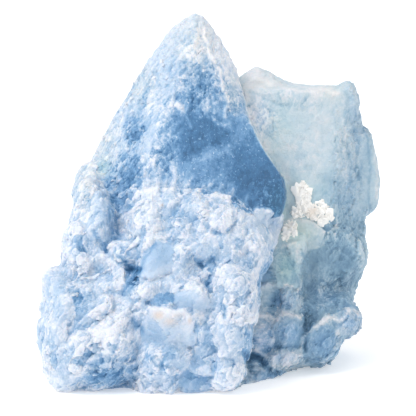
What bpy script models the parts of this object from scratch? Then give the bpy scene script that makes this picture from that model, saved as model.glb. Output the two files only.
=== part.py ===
"""A hand-sized piece of blue calcite: a pointed front crystal over a crumbly druse, on a smoother rear block.

It is one stone, so it is one solid. The forms are drawn as they are seen from the front, a little from
above: x runs to the right, d runs away from the eye and h runs up the view. Sizes are millimetres until
the stone is stood up.
"""

import itertools
import math
import random

import bmesh
import bpy
from mathutils import Euler, Matrix, Vector
from mathutils.bvhtree import BVHTree

NODE = "calcite"
MM = 0.001

# Driving dimensions
VIEW_TILT = math.radians(12.0)
COARSE_GRAIN = 0.8
FINE_GRAIN = 0.55
TRIANGLES = 9000
CREVICE_GRAIN = 0.3
SKIN_GRAIN = 0.5
GROUND_SIZE = 120.0
MIDDLE = Vector((0.0, 4.7, 0.0))
SEED = 7

# The pointed front crystal: its rim as seen from the front, its front ridges and its back.
SPIRE_RIM = [
    (-2.6, 0.0, 57.5), (-1.2, 0.5, 56.6), (0.9, 1.0, 53.8), (3.5, 1.0, 49.4), (4.4, 1.0, 46.4),
    (5.7, 0.0, 41.0), (7.0, -1.0, 36.6), (8.0, -2.0, 28.0), (-21.2, 3.0, 30.0), (-18.6, 3.0, 35.5),
    (-15.9, 2.5, 40.0), (-12.9, 2.0, 45.4), (-8.6, 1.5, 51.3), (-7.0, 1.0, 54.2), (-4.6, 0.5, 55.7),
]
SPIRE_RIDGES = [
    (-3.2, -3.0, 53.0), (-6.2, -6.5, 45.0), (-10.0, -11.0, 34.0), (-0.7, -2.6, 51.0), (1.4, -4.0, 45.5),
    (2.6, -5.2, 40.0), (-10.0, -12.8, 28.0), (1.0, -11.8, 26.0), (7.5, -8.8, 26.0), (-16.0, -7.5, 30.0),
    (-11.0, -13.5, 18.0), (2.0, -12.5, 18.0), (8.0, -9.0, 18.0), (-17.0, -9.0, 18.0),
]
SPIRE_BACK = [
    (-2.6, 4.5, 52.0), (-8.0, 9.0, 42.0), (2.0, 8.0, 42.0), (-15.0, 11.0, 28.0), (6.0, 11.0, 28.0),
]
# The swollen foot of the front crystal, under the druse.
SKIRT_CORNERS = [
    (-13.0, -14.0, 24.0), (-8.0, -14.8, 25.8), (-2.0, -14.6, 27.0), (5.0, -12.5, 25.6),
    (-14.0, -16.4, 16.0), (-5.0, -17.6, 17.0), (4.0, -16.2, 17.0), (-13.0, -17.8, 6.0),
    (-5.0, -19.2, 7.0), (3.0, -18.4, 7.0), (-12.5, -15.0, -3.4), (-4.0, -15.6, -3.5), (3.0, -14.8, -3.3),
    (9.8, -8.6, 21.0), (9.2, -8.0, 18.4), (8.2, -9.0, 14.0), (7.1, -9.6, 8.6), (6.3, -10.4, 2.2),
    (4.8, -11.5, -3.0), (8.6, 2.0, 20.0), (5.0, 2.0, -3.0), (-14.0, 2.0, 20.0), (-14.0, 2.0, -3.0),
]

# The right shoulder of the front crystal, which carries its window face on to the right.
SHOULDER_CORNERS = [
    (5.6, -4.4, 40.8), (7.4, -5.5, 35.9), (9.1, -6.0, 33.2), (10.8, -6.1, 31.4), (11.6, -6.5, 29.6),
    (11.9, -7.2, 26.9), (11.3, -8.0, 24.4), (3.0, -5.4, 40.0), (0.0, -10.8, 26.0), (5.0, -10.2, 23.5),
    (5.4, 3.0, 40.4), (9.2, 3.0, 32.6), (11.4, 3.0, 28.4), (10.6, 3.0, 24.2), (2.0, 3.0, 24.0),
]

# The rear block: its front cleavage face, its rim and its back.
REAR_CORNERS = [
    (2.0, 3.4, 44.8), (13.0, 3.2, 44.5), (20.0, 4.4, 44.2), (20.4, 3.4, 34.0), (18.6, 1.0, 22.0),
    (17.5, 0.8, 11.0), (2.0, 1.0, 22.0), (2.0, 1.0, 9.0), (2.0, 8.0, 46.0), (13.4, 8.0, 45.7),
    (15.4, 8.0, 45.4), (22.6, 8.0, 45.2), (23.8, 8.5, 42.8), (24.1, 9.0, 40.5), (24.9, 9.0, 33.0),
    (24.9, 8.0, 23.0), (24.3, 8.0, 16.0), (22.0, 8.0, 9.0), (4.0, 17.0, 41.0), (20.0, 17.5, 41.0),
    (22.0, 19.0, 30.0), (22.0, 18.0, 9.0), (4.0, 19.0, 9.0),
]

# Blocks seen as outlines: the outline (x, h), then the depths of the front face, of the rim and of the
# back face, the share of the outline that the front face keeps, and how the front face leans along x and
# along h.
BLOCKS = {
    "left buttress": (
        [(-19.0, 33.0), (-21.4, 29.9), (-21.7, 28.4), (-21.1, 26.5), (-21.6, 23.2), (-23.2, 20.9),
         (-24.2, 17.0), (-24.0, 13.0), (-12.0, 13.0), (-12.5, 27.0)],
        -13.0, -2.0, 9.0, 0.6, 0.1, 0.3,
    ),
    "left foot": (
        [(-23.9, 15.9), (-25.7, 15.3), (-26.3, 13.0), (-26.6, 8.4), (-27.1, 3.4), (-26.3, 0.6),
         (-23.8, -2.6), (-20.9, -3.8), (-13.0, -3.2), (-10.0, 6.0), (-14.0, 16.5)],
        -19.0, -11.0, 8.0, 0.62, 0.05, 0.16,
    ),
    "left horn": (
        [(4.2, 46.9), (7.1, 48.5), (8.6, 47.6), (13.2, 45.4), (12.0, 40.0), (4.0, 40.0)],
        5.5, 8.0, 12.0, 0.6, 0.0, 0.0,
    ),
    "right horn": (
        [(19.8, 45.0), (22.0, 46.5), (22.4, 46.3), (22.9, 44.4), (23.9, 42.4), (22.0, 36.0),
         (19.0, 38.0)],
        4.5, 7.5, 12.0, 0.6, 0.2, 0.0,
    ),
    "right flange": (
        [(23.6, 40.5), (25.6, 37.8), (26.4, 34.6), (26.5, 32.2), (27.1, 30.6), (27.1, 28.8), (26.5, 25.2),
         (25.2, 24.6), (22.5, 24.5), (21.5, 40.0)],
        7.5, 10.0, 14.0, 0.8, 0.2, 0.0,
    ),
    "right hip": (
        [(24.6, 21.2), (25.3, 18.3), (25.1, 16.6), (24.0, 15.2), (21.8, 12.4), (14.0, 11.0), (15.0, 24.0),
         (22.0, 24.0)],
        1.8, 7.0, 15.0, 0.55, 0.3, 0.1,
    ),
    "right foot": (
        [(22.5, 10.2), (23.5, 9.2), (23.9, 8.0), (23.8, 6.6), (22.0, 4.9), (17.0, 3.0), (14.0, 11.0),
         (21.5, 12.5)],
        -1.0, 3.5, 13.0, 0.7, 0.15, 0.1,
    ),
    "right toe": (
        [(14.3, 1.4), (17.1, 0.2), (18.6, 0.9), (19.8, 2.0), (20.6, 4.2), (21.6, 10.0), (14.2, 12.0)],
        -4.0, 1.5, 12.0, 0.75, 0.2, 0.15,
    ),
    "cube block": (
        [(5.0, -2.2), (7.8, -1.3), (11.4, 0.2), (14.1, 1.4), (14.5, 8.4), (8.5, 9.2), (5.0, 8.6)],
        -6.5, -2.0, 10.0, 0.86, 0.25, 0.1,
    ),
    "middle block": (
        [(5.0, 8.0), (14.3, 8.2), (14.2, 13.4), (10.5, 14.8), (6.5, 13.8)],
        -5.6, -2.0, 10.0, 0.85, 0.2, 0.15,
    ),
    "green wedge": (
        [(6.0, 12.5), (14.4, 12.5), (15.0, 22.0), (9.5, 22.5), (7.0, 18.0)],
        -4.2, -1.0, 10.0, 0.85, 0.3, 0.25,
    ),
}
# Crystals of the druse that stand out, each as x, h, half width, half height and how far it stands proud.
CRYSTALS = [
    (-7.0, 8.0, 2.8, 4.2, 3.0), (-3.0, 11.8, 3.4, 2.4, 2.6), (3.9, 12.6, 3.4, 4.6, 3.2),
    (3.3, 6.2, 4.0, 3.8, 3.2), (2.0, 0.4, 3.6, 4.2, 2.6), (-8.2, 1.8, 3.9, 3.6, 2.8),
    (-9.9, -2.4, 1.7, 1.6, 1.6), (-6.5, -2.2, 1.6, 1.7, 1.6), (-3.4, -2.0, 1.8, 1.8, 1.4),
    (-9.0, 17.3, 3.0, 2.9, 2.0), (8.4, 22.3, 2.6, 2.7, 1.4), (6.0, 19.6, 3.2, 2.8, 2.2),
    (1.9, 18.8, 2.3, 1.9, 1.6), (-10.2, 23.6, 3.2, 3.1, 2.2), (-6.6, 26.2, 2.0, 1.8, 1.6),
    (-4.0, 26.6, 1.6, 1.6, 1.4), (-1.6, 25.5, 2.0, 2.0, 1.8), (0.9, 26.2, 1.9, 2.1, 1.7),
    (3.3, 25.2, 1.7, 1.7, 1.4), (5.4, 24.4, 1.9, 1.5, 1.3), (-5.2, 22.8, 2.3, 2.1, 1.5),
    (-1.9, 21.9, 2.0, 1.9, 1.5), (0.7, 22.6, 2.4, 2.7, 2.0), (-4.3, 18.6, 2.4, 2.0, 1.6),
    (-1.0, 17.2, 2.2, 1.8, 1.2), (-13.6, 18.3, 2.4, 2.0, 1.8), (-10.8, 12.8, 3.8, 2.4, 2.6),
    (-14.2, 9.4, 3.6, 2.8, 2.6), (-18.4, 21.4, 2.4, 4.6, 1.8), (-17.0, 16.4, 2.6, 2.3, 1.6),
    (-20.6, 17.4, 2.2, 2.6, 1.5), (-24.6, 13.8, 2.0, 2.0, 1.6), (-22.6, 10.8, 2.8, 2.7, 1.6),
    (-24.4, 6.8, 2.4, 3.2, 1.4), (-25.0, 2.8, 2.1, 3.0, 1.2), (-20.8, 4.6, 3.2, 3.2, 1.6),
    (-22.4, -0.8, 3.4, 2.4, 1.4), (-17.6, -1.0, 3.8, 2.2, 1.4), (-18.6, 9.4, 3.2, 2.6, 1.6),
    (-15.2, 4.8, 3.2, 3.0, 1.8), (-16.4, 12.8, 2.8, 2.2, 1.5), (-12.8, 1.4, 2.4, 2.6, 1.4),
    (8.0, 4.4, 2.2, 2.4, 1.2), (8.2, -0.4, 2.6, 1.4, 1.2), (12.4, 1.8, 2.4, 1.2, 1.2),
    (18.0, 3.6, 3.0, 2.6, 1.4), (20.8, 7.6, 2.6, 2.2, 1.3), (16.4, 6.8, 2.2, 2.0, 1.0),
    (22.4, 17.6, 2.4, 2.6, 1.0), (14.1, 27.1, 1.5, 1.9, 1.0), (15.9, 25.0, 1.8, 1.6, 1.1),
    (17.7, 24.4, 1.7, 1.7, 1.1), (13.4, 25.0, 1.4, 1.2, 0.9), (11.9, 22.4, 1.2, 1.7, 0.8),
]
# Crevices between the crystals, each as x, h, half width, half height and how deep it runs in.
CREVICES = [
    (-12.7, 15.8, 1.1, 2.4, 4.5), (-14.6, 22.6, 0.9, 3.0, 3.0), (-13.6, 19.8, 0.8, 1.4, 3.0),
    (-11.2, 18.4, 0.7, 1.2, 2.6), (-1.6, 17.0, 1.4, 0.7, 3.0), (-1.0, 14.2, 0.8, 1.5, 2.6),
    (-12.4, 7.2, 1.2, 1.3, 2.6), (-2.0, 9.0, 0.6, 1.8, 2.2), (5.6, 5.4, 0.6, 1.0, 2.5),
    (-11.4, -1.2, 0.9, 1.6, 3.0), (-16.0, 1.6, 2.4, 0.6, 1.8), (6.6, -0.8, 0.8, 0.9, 2.5),
    (2.6, 21.0, 0.6, 1.4, 2.0), (-4.0, 20.6, 1.2, 0.5, 1.8), (3.4, 16.6, 1.4, 0.5, 1.8),
    (-20.4, 12.6, 1.2, 0.6, 1.6),
]
# Swells of the broken back, each as its middle and its half sizes.
BACK_SWELLS = [
    ((-10.0, 8.0, 22.0), (9.0, 6.0, 12.0)), ((3.0, 13.0, 14.0), (10.0, 8.0, 13.0)),
    ((-17.0, 5.0, 6.0), (8.0, 7.0, 9.0)), ((13.0, 15.0, 28.0), (9.0, 5.5, 13.0)),
    ((-5.0, 12.0, 4.0), (10.0, 7.0, 8.0)), ((-3.0, 7.0, 38.0), (7.0, 5.0, 9.0)),
]
# How the rest of the surface crumbles: least and greatest half size of its chunks, the spacing between
# them, and how deep they are seated, as a share of their size.
CRUMBLE = {
    "druse": (0.9, 2.0, 1.3, 0.35),
    "flank": (0.7, 1.3, 1.6, 0.5),
    "side": (1.4, 2.8, 1.4, 0.8),
    "back": (2.0, 4.4, 1.3, 0.6),
    "smooth": None,
}
CHUNK_TRIES = 2600
# The way the cleavage blocks of the back and sides are turned, how far each strays from it, and how far
# they lean.
CLEAVAGE_TURN = (0.35, -0.5, 0.6)
CLEAVAGE_STRAY = 0.16
CLEAVAGE_LEAN = 0.22
SHRINKS = 6
SHRINK = 0.75
FOOTING = [
    (-22.0, -14.0, -5.0), (3.0, -14.0, -5.0), (9.0, -1.0, -1.4), (18.0, 4.0, -1.0), (16.0, 11.0, 0.0),
    (-15.0, 5.0, -3.0), (-14.0, 8.0, 30.0), (16.0, 15.0, 36.0), (4.0, -6.0, 24.0), (-14.0, -7.0, 24.0),
]


def ring(outline, depth, share, lean_x, lean_h):
    """The outline shrunk about its middle, on a plane that leans through that depth."""
    mid_x = sum(x for x, _ in outline) / len(outline)
    mid_h = sum(h for _, h in outline) / len(outline)
    for x, h in outline:
        across, up = (x - mid_x) * share, (h - mid_h) * share
        yield (mid_x + across, depth + lean_x * across + lean_h * up, mid_h + up)


def add_hull(bm, corners):
    """Adds the convex body that these corners span."""
    made = [bm.verts.new(c) for c in corners]
    hull = bmesh.ops.convex_hull(bm, input=made)
    spare = {v for v in hull["geom_interior"] + hull["geom_unused"] if isinstance(v, bmesh.types.BMVert)}
    bmesh.ops.delete(bm, geom=list(spare), context="VERTS")


def add_block(bm, outline, front, rim, back, share, lean_x, lean_h):
    """A cleavage block: a flat leaning front, its full outline at the rim, and a smaller back."""
    corners = list(ring(outline, front, share, lean_x, lean_h))
    corners += ring(outline, rim, 1.0, 0.0, 0.0)
    corners += ring(outline, back, 0.75, 0.0, 0.0)
    add_hull(bm, corners)


def chunk_corners(rng, centre, radii, corners=13):
    """A broken crystal: points spread over an ellipsoid, turned at random."""
    axis = Vector([rng.gauss(0.0, 1.0) for _ in range(3)]).normalized()
    turn = Matrix.Rotation(rng.uniform(0.0, math.tau), 3, axis)
    golden = math.pi * (3.0 - math.sqrt(5.0))
    points = []
    for i in range(corners):
        up = 1.0 - 2.0 * (i + 0.5) / corners
        around = golden * i + rng.uniform(-0.35, 0.35)
        flat = math.sqrt(1.0 - up * up)
        unit = turn @ Vector((flat * math.cos(around), flat * math.sin(around), up))
        reach = rng.uniform(0.86, 1.12)
        points.append(centre + Vector([u * r * reach for u, r in zip(unit, radii)]))
    return points


def rhomb_corners(rng, centre, radii):
    """A cleavage block: a leaning box, turned nearly the same way as its neighbours."""
    angles = [angle + rng.uniform(-CLEAVAGE_STRAY, CLEAVAGE_STRAY) for angle in CLEAVAGE_TURN]
    turn = Euler(angles).to_matrix()
    corners = []
    for a, b, c in itertools.product((-1.0, 1.0), repeat=3):
        leaning = Vector((a + CLEAVAGE_LEAN * c, b + CLEAVAGE_LEAN * a, c))
        corners.append(centre + turn @ Vector([u * r for u, r in zip(leaning, radii)]))
    return corners


def to_object(bm, name, collection):
    mesh = bpy.data.meshes.new(name)
    bm.to_mesh(mesh)
    bm.free()
    made = bpy.data.objects.new(name, mesh)
    collection.objects.link(made)
    return made


def fuse(obj, grain):
    """Voxel remesh: overlapping closed bodies become one skin."""
    remesh = obj.modifiers.new("fuse", "REMESH")
    remesh.mode = "VOXEL"
    remesh.voxel_size = grain
    return remesh


def evaluated_mesh(obj):
    bpy.context.view_layer.update()
    return bpy.data.meshes.new_from_object(obj.evaluated_get(bpy.context.evaluated_depsgraph_get()))


def masses():
    """The big crystals, overlapping, in one mesh."""
    rng = random.Random(SEED)
    bm = bmesh.new()
    add_hull(bm, SPIRE_RIM + SPIRE_RIDGES + SPIRE_BACK)
    add_hull(bm, SKIRT_CORNERS)
    add_hull(bm, SHOULDER_CORNERS)
    add_hull(bm, REAR_CORNERS)
    add_hull(bm, FOOTING)
    for block in BLOCKS.values():
        add_block(bm, *block)
    for middle, radii in BACK_SWELLS:
        add_hull(bm, chunk_corners(rng, Vector(middle), radii, 22))
    return bm


def zone(point, normal):
    """Which kind of surface a place of the stone has, by where it is and which way it faces."""
    x, d, h = point
    faces_eye = normal.y < -0.35
    if -18.0 < x < 9.5 and d < -5.0 and h < 22.0:
        return "druse"
    if faces_eye and x < 9.5 and h < 25.5 - 0.12 * (x + 8.0):
        return "druse"
    if faces_eye and x < -9.0 - 0.12 * (h - 27.0):
        return "flank"
    if h > 20.0 and normal.y < 0.3 and x > -9.0:
        return "smooth"
    if x > 8.0 and h > 10.0 and normal.y < 0.2:
        return "smooth"
    if normal.y > 0.35:
        return "back"
    return "flank" if h > 30.0 else "side"


def places(mesh, rng, tries):
    """Random places on a mesh, spread evenly over its area, with the way each one faces."""
    mesh.calc_loop_triangles()
    triangles = mesh.loop_triangles
    corners = [v.co for v in mesh.vertices]
    for tri in rng.choices(triangles, weights=[t.area for t in triangles], k=tries):
        a, b, c = (corners[i] for i in tri.vertices)
        s, t = rng.random(), rng.random()
        if s + t > 1.0:
            s, t = 1.0 - s, 1.0 - t
        yield a + (b - a) * s + (c - a) * t, tri.normal.copy()


def tree_of(mesh):
    return BVHTree.FromPolygons([v.co for v in mesh.vertices], [p.vertices for p in mesh.polygons])


def seen(tree, x, h):
    """Where the surface is that the eye meets at this place of the view, if there is one."""
    return tree.ray_cast(Vector((x, -60.0, h)), Vector((0.0, 1.0, 0.0)))[0]


def add_crystals(bm, tree, rng):
    """Seats each named crystal of the druse on the surface that is straight behind it."""
    for x, h, half_width, half_height, proud in CRYSTALS:
        hit = seen(tree, x, h) or tree.find_nearest(Vector((x, -10.0, h)))[0]
        thick = 0.9 * min(half_width, half_height) + 0.6
        centre = Vector((x, hit.y + thick - proud, h))
        add_hull(bm, chunk_corners(rng, centre, (half_width, thick, half_height), 15))


def add_inside(bm, tree, centre, corners):
    """Adds a body, drawn in until all of it is in front of the big crystals, or leaves it out."""
    for _ in range(SHRINKS):
        if all(seen(tree, corner.x, corner.z) for corner in corners):
            add_hull(bm, corners)
            return
        corners = [centre.lerp(corner, SHRINK) for corner in corners]


def add_crumble(bm, skin, tree, rng):
    """Scatters chunks over the rough faces, no nearer to each other than their zone's spacing."""
    kept = []
    for place, normal in places(skin, rng, CHUNK_TRIES):
        kind = zone(place, normal)
        rule = CRUMBLE[kind]
        if rule is None:
            continue
        least, most, spacing, seat = rule
        size = rng.uniform(least, most)
        if any((place - other).length < spacing * 0.5 * (size + reach) for other, reach in kept):
            continue
        kept.append((place, size))
        centre = place - normal * size * seat
        radii = [size * rng.uniform(0.65, 1.25) for _ in range(3)]
        shape = rhomb_corners if kind in ("side", "back") else chunk_corners
        add_inside(bm, tree, centre, shape(rng, centre, radii))


def crevices(skin, rng):
    """The spaces between crystals, as one mesh of wedges that run straight in from the surface."""
    bm = bmesh.new()
    tree = tree_of(skin)
    for x, h, half_width, half_height, deep in CREVICES:
        centre = Vector((x, seen(tree, x, h).y, h))
        add_hull(bm, chunk_corners(rng, centre, (half_width, deep, half_height), 15))
    return bm


def thin(obj, triangles):
    """Collapses the skin to about this many triangles, most of them where it bends."""
    have = sum(len(p.vertices) - 2 for p in evaluated_mesh(obj).polygons)
    decimate = obj.modifiers.new("thin", "DECIMATE")
    decimate.ratio = min(1.0, triangles / have)


def cut(obj, cutter, name):
    cutter.hide_render = True
    cutter.display_type = "WIRE"
    boolean = obj.modifiers.new(name, "BOOLEAN")
    boolean.operation = "DIFFERENCE"
    boolean.object = cutter
    return boolean


def calcite_material():
    material = bpy.data.materials.new("blue_calcite")
    material.use_nodes = True
    shader = material.node_tree.nodes["Principled BSDF"]
    shader.inputs["Base Color"].default_value = (0.46, 0.62, 0.82, 1.0)
    shader.inputs["Roughness"].default_value = 0.45
    shader.inputs["Metallic"].default_value = 0.0
    return material


def new_collection(name):
    made = bpy.data.collections.new(name)
    bpy.context.scene.collection.children.link(made)
    return made


def main():
    for old in list(bpy.data.objects):
        bpy.data.objects.remove(old)
    stone_set, cutters = new_collection(NODE), new_collection("cutters")
    rng = random.Random(SEED)

    rough = to_object(masses(), "masses", stone_set)
    fuse(rough, COARSE_GRAIN)
    skin = evaluated_mesh(rough)
    tree = tree_of(skin)
    bpy.data.objects.remove(rough)

    bm = masses()
    add_crystals(bm, tree, rng)
    add_crumble(bm, skin, tree, rng)
    grown = to_object(bm, "grown", stone_set)
    fuse(grown, FINE_GRAIN)
    gaps = to_object(crevices(evaluated_mesh(grown), rng), "crevices", cutters)
    fuse(gaps, CREVICE_GRAIN)
    cut(grown, gaps, "open crevices")
    fuse(grown, SKIN_GRAIN)
    thin(grown, TRIANGLES)
    mesh = evaluated_mesh(grown)
    bpy.data.objects.remove(grown)

    # Stand the stone up: the view looks down on it by the tilt, and its middle goes over the origin.
    stand = Matrix.Scale(MM, 4) @ Matrix.Translation(-MIDDLE) @ Matrix.Rotation(-VIEW_TILT, 4, "X")
    mesh.transform(stand)
    mesh.name = NODE
    stone = bpy.data.objects.new(NODE, mesh)
    stone_set.objects.link(stone)
    stone.data.materials.append(calcite_material())

    bm = bmesh.new()
    bmesh.ops.create_cube(bm, size=GROUND_SIZE * MM)
    ground = to_object(bm, "ground", cutters)
    ground.location.z = -0.5 * GROUND_SIZE * MM
    cut(stone, ground, "level base")


main()
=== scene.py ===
"""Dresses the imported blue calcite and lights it: a glassy pointed crystal over a frosted crumbly crust, with a milky
grey-green block behind it.

Forms are placed by what the eye sees of them: places in the tables are pixels of the picture, U to the right and V
down, and heights above the surface are millimetres towards the eye. They are worked out in view millimetres: x runs to
the right, d away from the eye and h up the view, which looks down on the stone by VIEW_TILT.
"""

import itertools
import math

import bmesh
import bpy
import numpy as np
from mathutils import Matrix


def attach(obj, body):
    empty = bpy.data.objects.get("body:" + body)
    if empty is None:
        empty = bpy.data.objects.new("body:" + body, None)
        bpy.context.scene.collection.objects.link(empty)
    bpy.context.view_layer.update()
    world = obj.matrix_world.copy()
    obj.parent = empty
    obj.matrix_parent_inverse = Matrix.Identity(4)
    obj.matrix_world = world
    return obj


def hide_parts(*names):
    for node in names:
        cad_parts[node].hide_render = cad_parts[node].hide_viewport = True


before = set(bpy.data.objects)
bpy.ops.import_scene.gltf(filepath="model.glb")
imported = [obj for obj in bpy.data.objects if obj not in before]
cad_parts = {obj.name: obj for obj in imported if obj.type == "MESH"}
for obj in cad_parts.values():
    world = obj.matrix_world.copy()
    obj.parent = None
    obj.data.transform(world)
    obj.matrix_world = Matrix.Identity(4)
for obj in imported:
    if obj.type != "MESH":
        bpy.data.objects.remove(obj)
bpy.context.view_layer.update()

NODE = "calcite"
MM = 0.001

# The view's origin is on the ground, MIDDLE_D millimetres before the frame's, and is seen at MIDDLE_U, GROUND_V.
VIEW_TILT = math.radians(12.0)
MIDDLE_D = 4.7
PICTURE_SIDE = 416
MM_PER_PIXEL = 0.16
MIDDLE_U = 212.0
GROUND_V = 368.2
EYE_DISTANCE = 1000.0

# In millimetres: the voxels of the body and of the pieces on it, and the cells of the grid of what the eye sees.
SKIN_GRAIN = 0.26
PLATE_GRAIN = 0.2
SIGHT_GRAIN = 0.4

BODY_TRIANGLES = 196000
CRUST_TRIANGLES = 180000

# Whole numbers that tell one piece's random numbers from another's.
BODY_SALT, CRUST_SALT, FROSTED_SALT = 200, 100, 1100
CRUMB_SALT, FROST_CRUMB_SALT, CREAM_CRUMB_SALT = 400, 1400, 700
LOOSE_SALT, CREAM_SALT = 800, 900

# How the forms in the tables are built, in millimetres: how far each spreads past its outline, how deep its edge starts
# under the surface, how wide its steep side is, its greatest slope, and the noise that its edge wanders with, as (size,
# shift, octaves). NOTHING is the height where there is no form. SLOPE_LIGHT is the tone that a rise adds, as painted
# light on the raised side of a form.
SPREAD = 0.7
SUNK = 0.8
STEEP_SIDE = 0.3
LEAN = 0.25
WANDER = ((2.2, 0.6, 3), (0.7, 0.5, 2))
NOTHING = -9.0
SLOPE_LIGHT = 0.25

# How deep the back of a form's solid is, in millimetres: everywhere, more at the ground's edge and how wide that edge
# is, the least, and how far it stays from the stone's far side. OVERHANG is how far it may pass the stone's outline.
BACK_DEPTH = 2.5
EDGE_DEPTH = 5.0
EDGE_WIDTH = 2.5
LEAST_DEPTH = 1.0
FAR_GAP = 0.5
OVERHANG = 0.9

# The right-hand outline of the front crystal and of the crust under it, from the ground up.
FRONT_EDGE = (
    (226, 390), (230, 382), (237, 373), (240, 365), (243, 353), (248, 343), (248, 335), (245, 323), (252, 312),
    (255, 302), (256, 287), (257, 275), (262, 263), (268, 252), (268, 243), (275, 235), (279, 218), (283, 210),
    (286, 198), (284, 180), (278, 172), (268, 158), (257, 140), (248, 118), (245, 103), (240, 82), (235, 63),
    (226, 40),
)

# How light or dark each patch of the front crystal and its crust is, as U, V, half width, half height and tone: 0 is
# the deepest blue and 1 is white frost.
FRONT_TONES = (
    # the tip and the pale band along the left-hand outline
    (196, 30, 26, 20, 0.92), (196, 54, 20, 10, 0.90), (165, 60, 18, 20, 0.86), (222, 58, 8, 18, 1.00),
    (235, 90, 9, 14, 0.86), (243, 108, 6, 12, 0.62), (140, 85, 9, 13, 0.74), (123, 108, 9, 13, 0.80),
    (108, 135, 9, 13, 0.81), (96, 154, 8, 12, 0.90), (86, 185, 8, 20, 0.84),
    # the sparkling flank
    (150, 92, 12, 12, 0.80), (168, 84, 12, 8, 0.74), (184, 72, 12, 6, 0.66), (204, 74, 10, 6, 0.62),
    (140, 118, 10, 10, 0.58), (134, 133, 8, 8, 0.24), (118, 124, 8, 12, 0.74), (152, 108, 8, 8, 0.78),
    (157, 124, 7, 10, 0.72), (149, 143, 8, 10, 0.75), (125, 150, 9, 8, 0.72), (108, 147, 6, 10, 0.82),
    (132, 173, 8, 14, 0.33), (120, 176, 8, 10, 0.60), (124, 200, 8, 10, 0.38), (113, 207, 7, 14, 0.54),
    (103, 168, 7, 8, 0.72), (150, 168, 7, 12, 0.76), (160, 182, 8, 8, 0.64), (152, 192, 10, 5, 0.86),
    (128, 186, 6, 8, 0.50),
    (186, 65, 4, 5, 0.45), (212, 66, 6, 3, 0.50), (197, 72, 4, 5, 0.50), (172, 66, 5, 3, 0.62),
    # the window
    (205, 90, 12, 8, 0.56), (195, 105, 10, 10, 0.40), (212, 106, 8, 10, 0.46), (183, 120, 8, 8, 0.34),
    (200, 125, 12, 10, 0.14), (186, 140, 12, 14, 0.12), (208, 142, 14, 10, 0.08), (195, 153, 16, 5, 0.13),
    (170, 130, 7, 12, 0.52), (172, 152, 7, 10, 0.50), (231, 105, 7, 12, 0.50), (238, 128, 9, 12, 0.36),
    (232, 145, 10, 8, 0.24), (215, 158, 14, 5, 0.34), (205, 172, 14, 10, 0.38), (222, 172, 8, 10, 0.32),
    (188, 172, 7, 8, 0.50), (195, 187, 12, 5, 0.56), (222, 187, 12, 5, 0.34), (245, 160, 12, 12, 0.14),
    (254, 140, 8, 12, 0.26), (270, 160, 8, 8, 0.12),
    (255, 180, 18, 14, 0.05), (276, 178, 12, 14, 0.07), (275, 198, 9, 12, 0.08), (247, 196, 8, 6, 0.20),
    (263, 196, 8, 10, 0.10),
    # under the crust; the darker patches lie in its holes and are painted shade
    (140, 230, 30, 20, 0.80), (200, 235, 30, 20, 0.80), (190, 300, 40, 30, 0.80), (230, 300, 20, 30, 0.82),
    (210, 350, 40, 25, 0.86), (150, 350, 30, 25, 0.82), (90, 280, 30, 30, 0.84), (80, 340, 30, 30, 0.84),
    (70, 375, 20, 15, 0.86), (110, 372, 20, 10, 0.30), (203, 261, 9, 4, 0.44), (132, 274, 7, 10, 0.38),
    (116, 222, 5, 18, 0.36), (206, 281, 4, 8, 0.46), (166, 293, 12, 6, 0.52), (138, 322, 6, 8, 0.56),
    (108, 308, 6, 8, 0.62), (223, 310, 5, 6, 0.64),
)

# The same for the block behind. Its darkest patches, along the gaps between the frosted blocks at its foot, are painted
# shade.
REAR_TONES = (
    (256, 72, 10, 7, 0.93), (262, 87, 10, 6, 0.99), (280, 86, 16, 8, 0.90), (310, 96, 18, 8, 0.88),
    (332, 92, 10, 6, 0.94), (347, 86, 7, 8, 0.78), (256, 110, 9, 12, 0.97), (268, 118, 10, 10, 0.90),
    (275, 135, 10, 10, 0.90), (262, 142, 8, 14, 0.95), (290, 125, 14, 20, 0.85), (312, 130, 14, 26, 0.88),
    (328, 140, 10, 20, 0.86), (300, 170, 22, 14, 0.84), (345, 110, 9, 18, 0.76), (355, 135, 9, 18, 0.74),
    (345, 165, 12, 22, 0.74), (358, 190, 9, 16, 0.64), (373, 150, 6, 22, 0.70), (375, 190, 6, 16, 0.68),
    (335, 195, 10, 14, 0.58), (345, 225, 14, 14, 0.50), (325, 190, 8, 12, 0.66), (280, 205, 10, 14, 0.80),
    (295, 232, 16, 12, 0.84), (312, 232, 8, 8, 0.64), (330, 245, 12, 14, 0.34), (352, 235, 9, 10, 0.50),
    (345, 262, 12, 12, 0.22), (362, 255, 7, 14, 0.64), (310, 262, 9, 12, 0.46), (285, 270, 9, 14, 0.52),
    (264, 273, 7, 13, 0.46), (300, 296, 7, 14, 0.36), (318, 268, 8, 8, 0.44), (325, 297, 18, 12, 0.36),
    (342, 292, 10, 12, 0.26), (352, 300, 9, 10, 0.44), (265, 300, 8, 12, 0.52), (285, 302, 10, 12, 0.38),
    (308, 316, 5, 14, 0.08), (290, 332, 12, 12, 0.50), (260, 342, 12, 12, 0.54), (255, 356, 14, 4, 0.08),
    (264, 370, 10, 4, 0.14), (285, 358, 14, 6, 0.66), (250, 376, 12, 6, 0.62), (325, 342, 14, 14, 0.46),
    (330, 322, 10, 8, 0.58), (352, 322, 8, 9, 0.54), (318, 358, 12, 6, 0.46),
)

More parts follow.
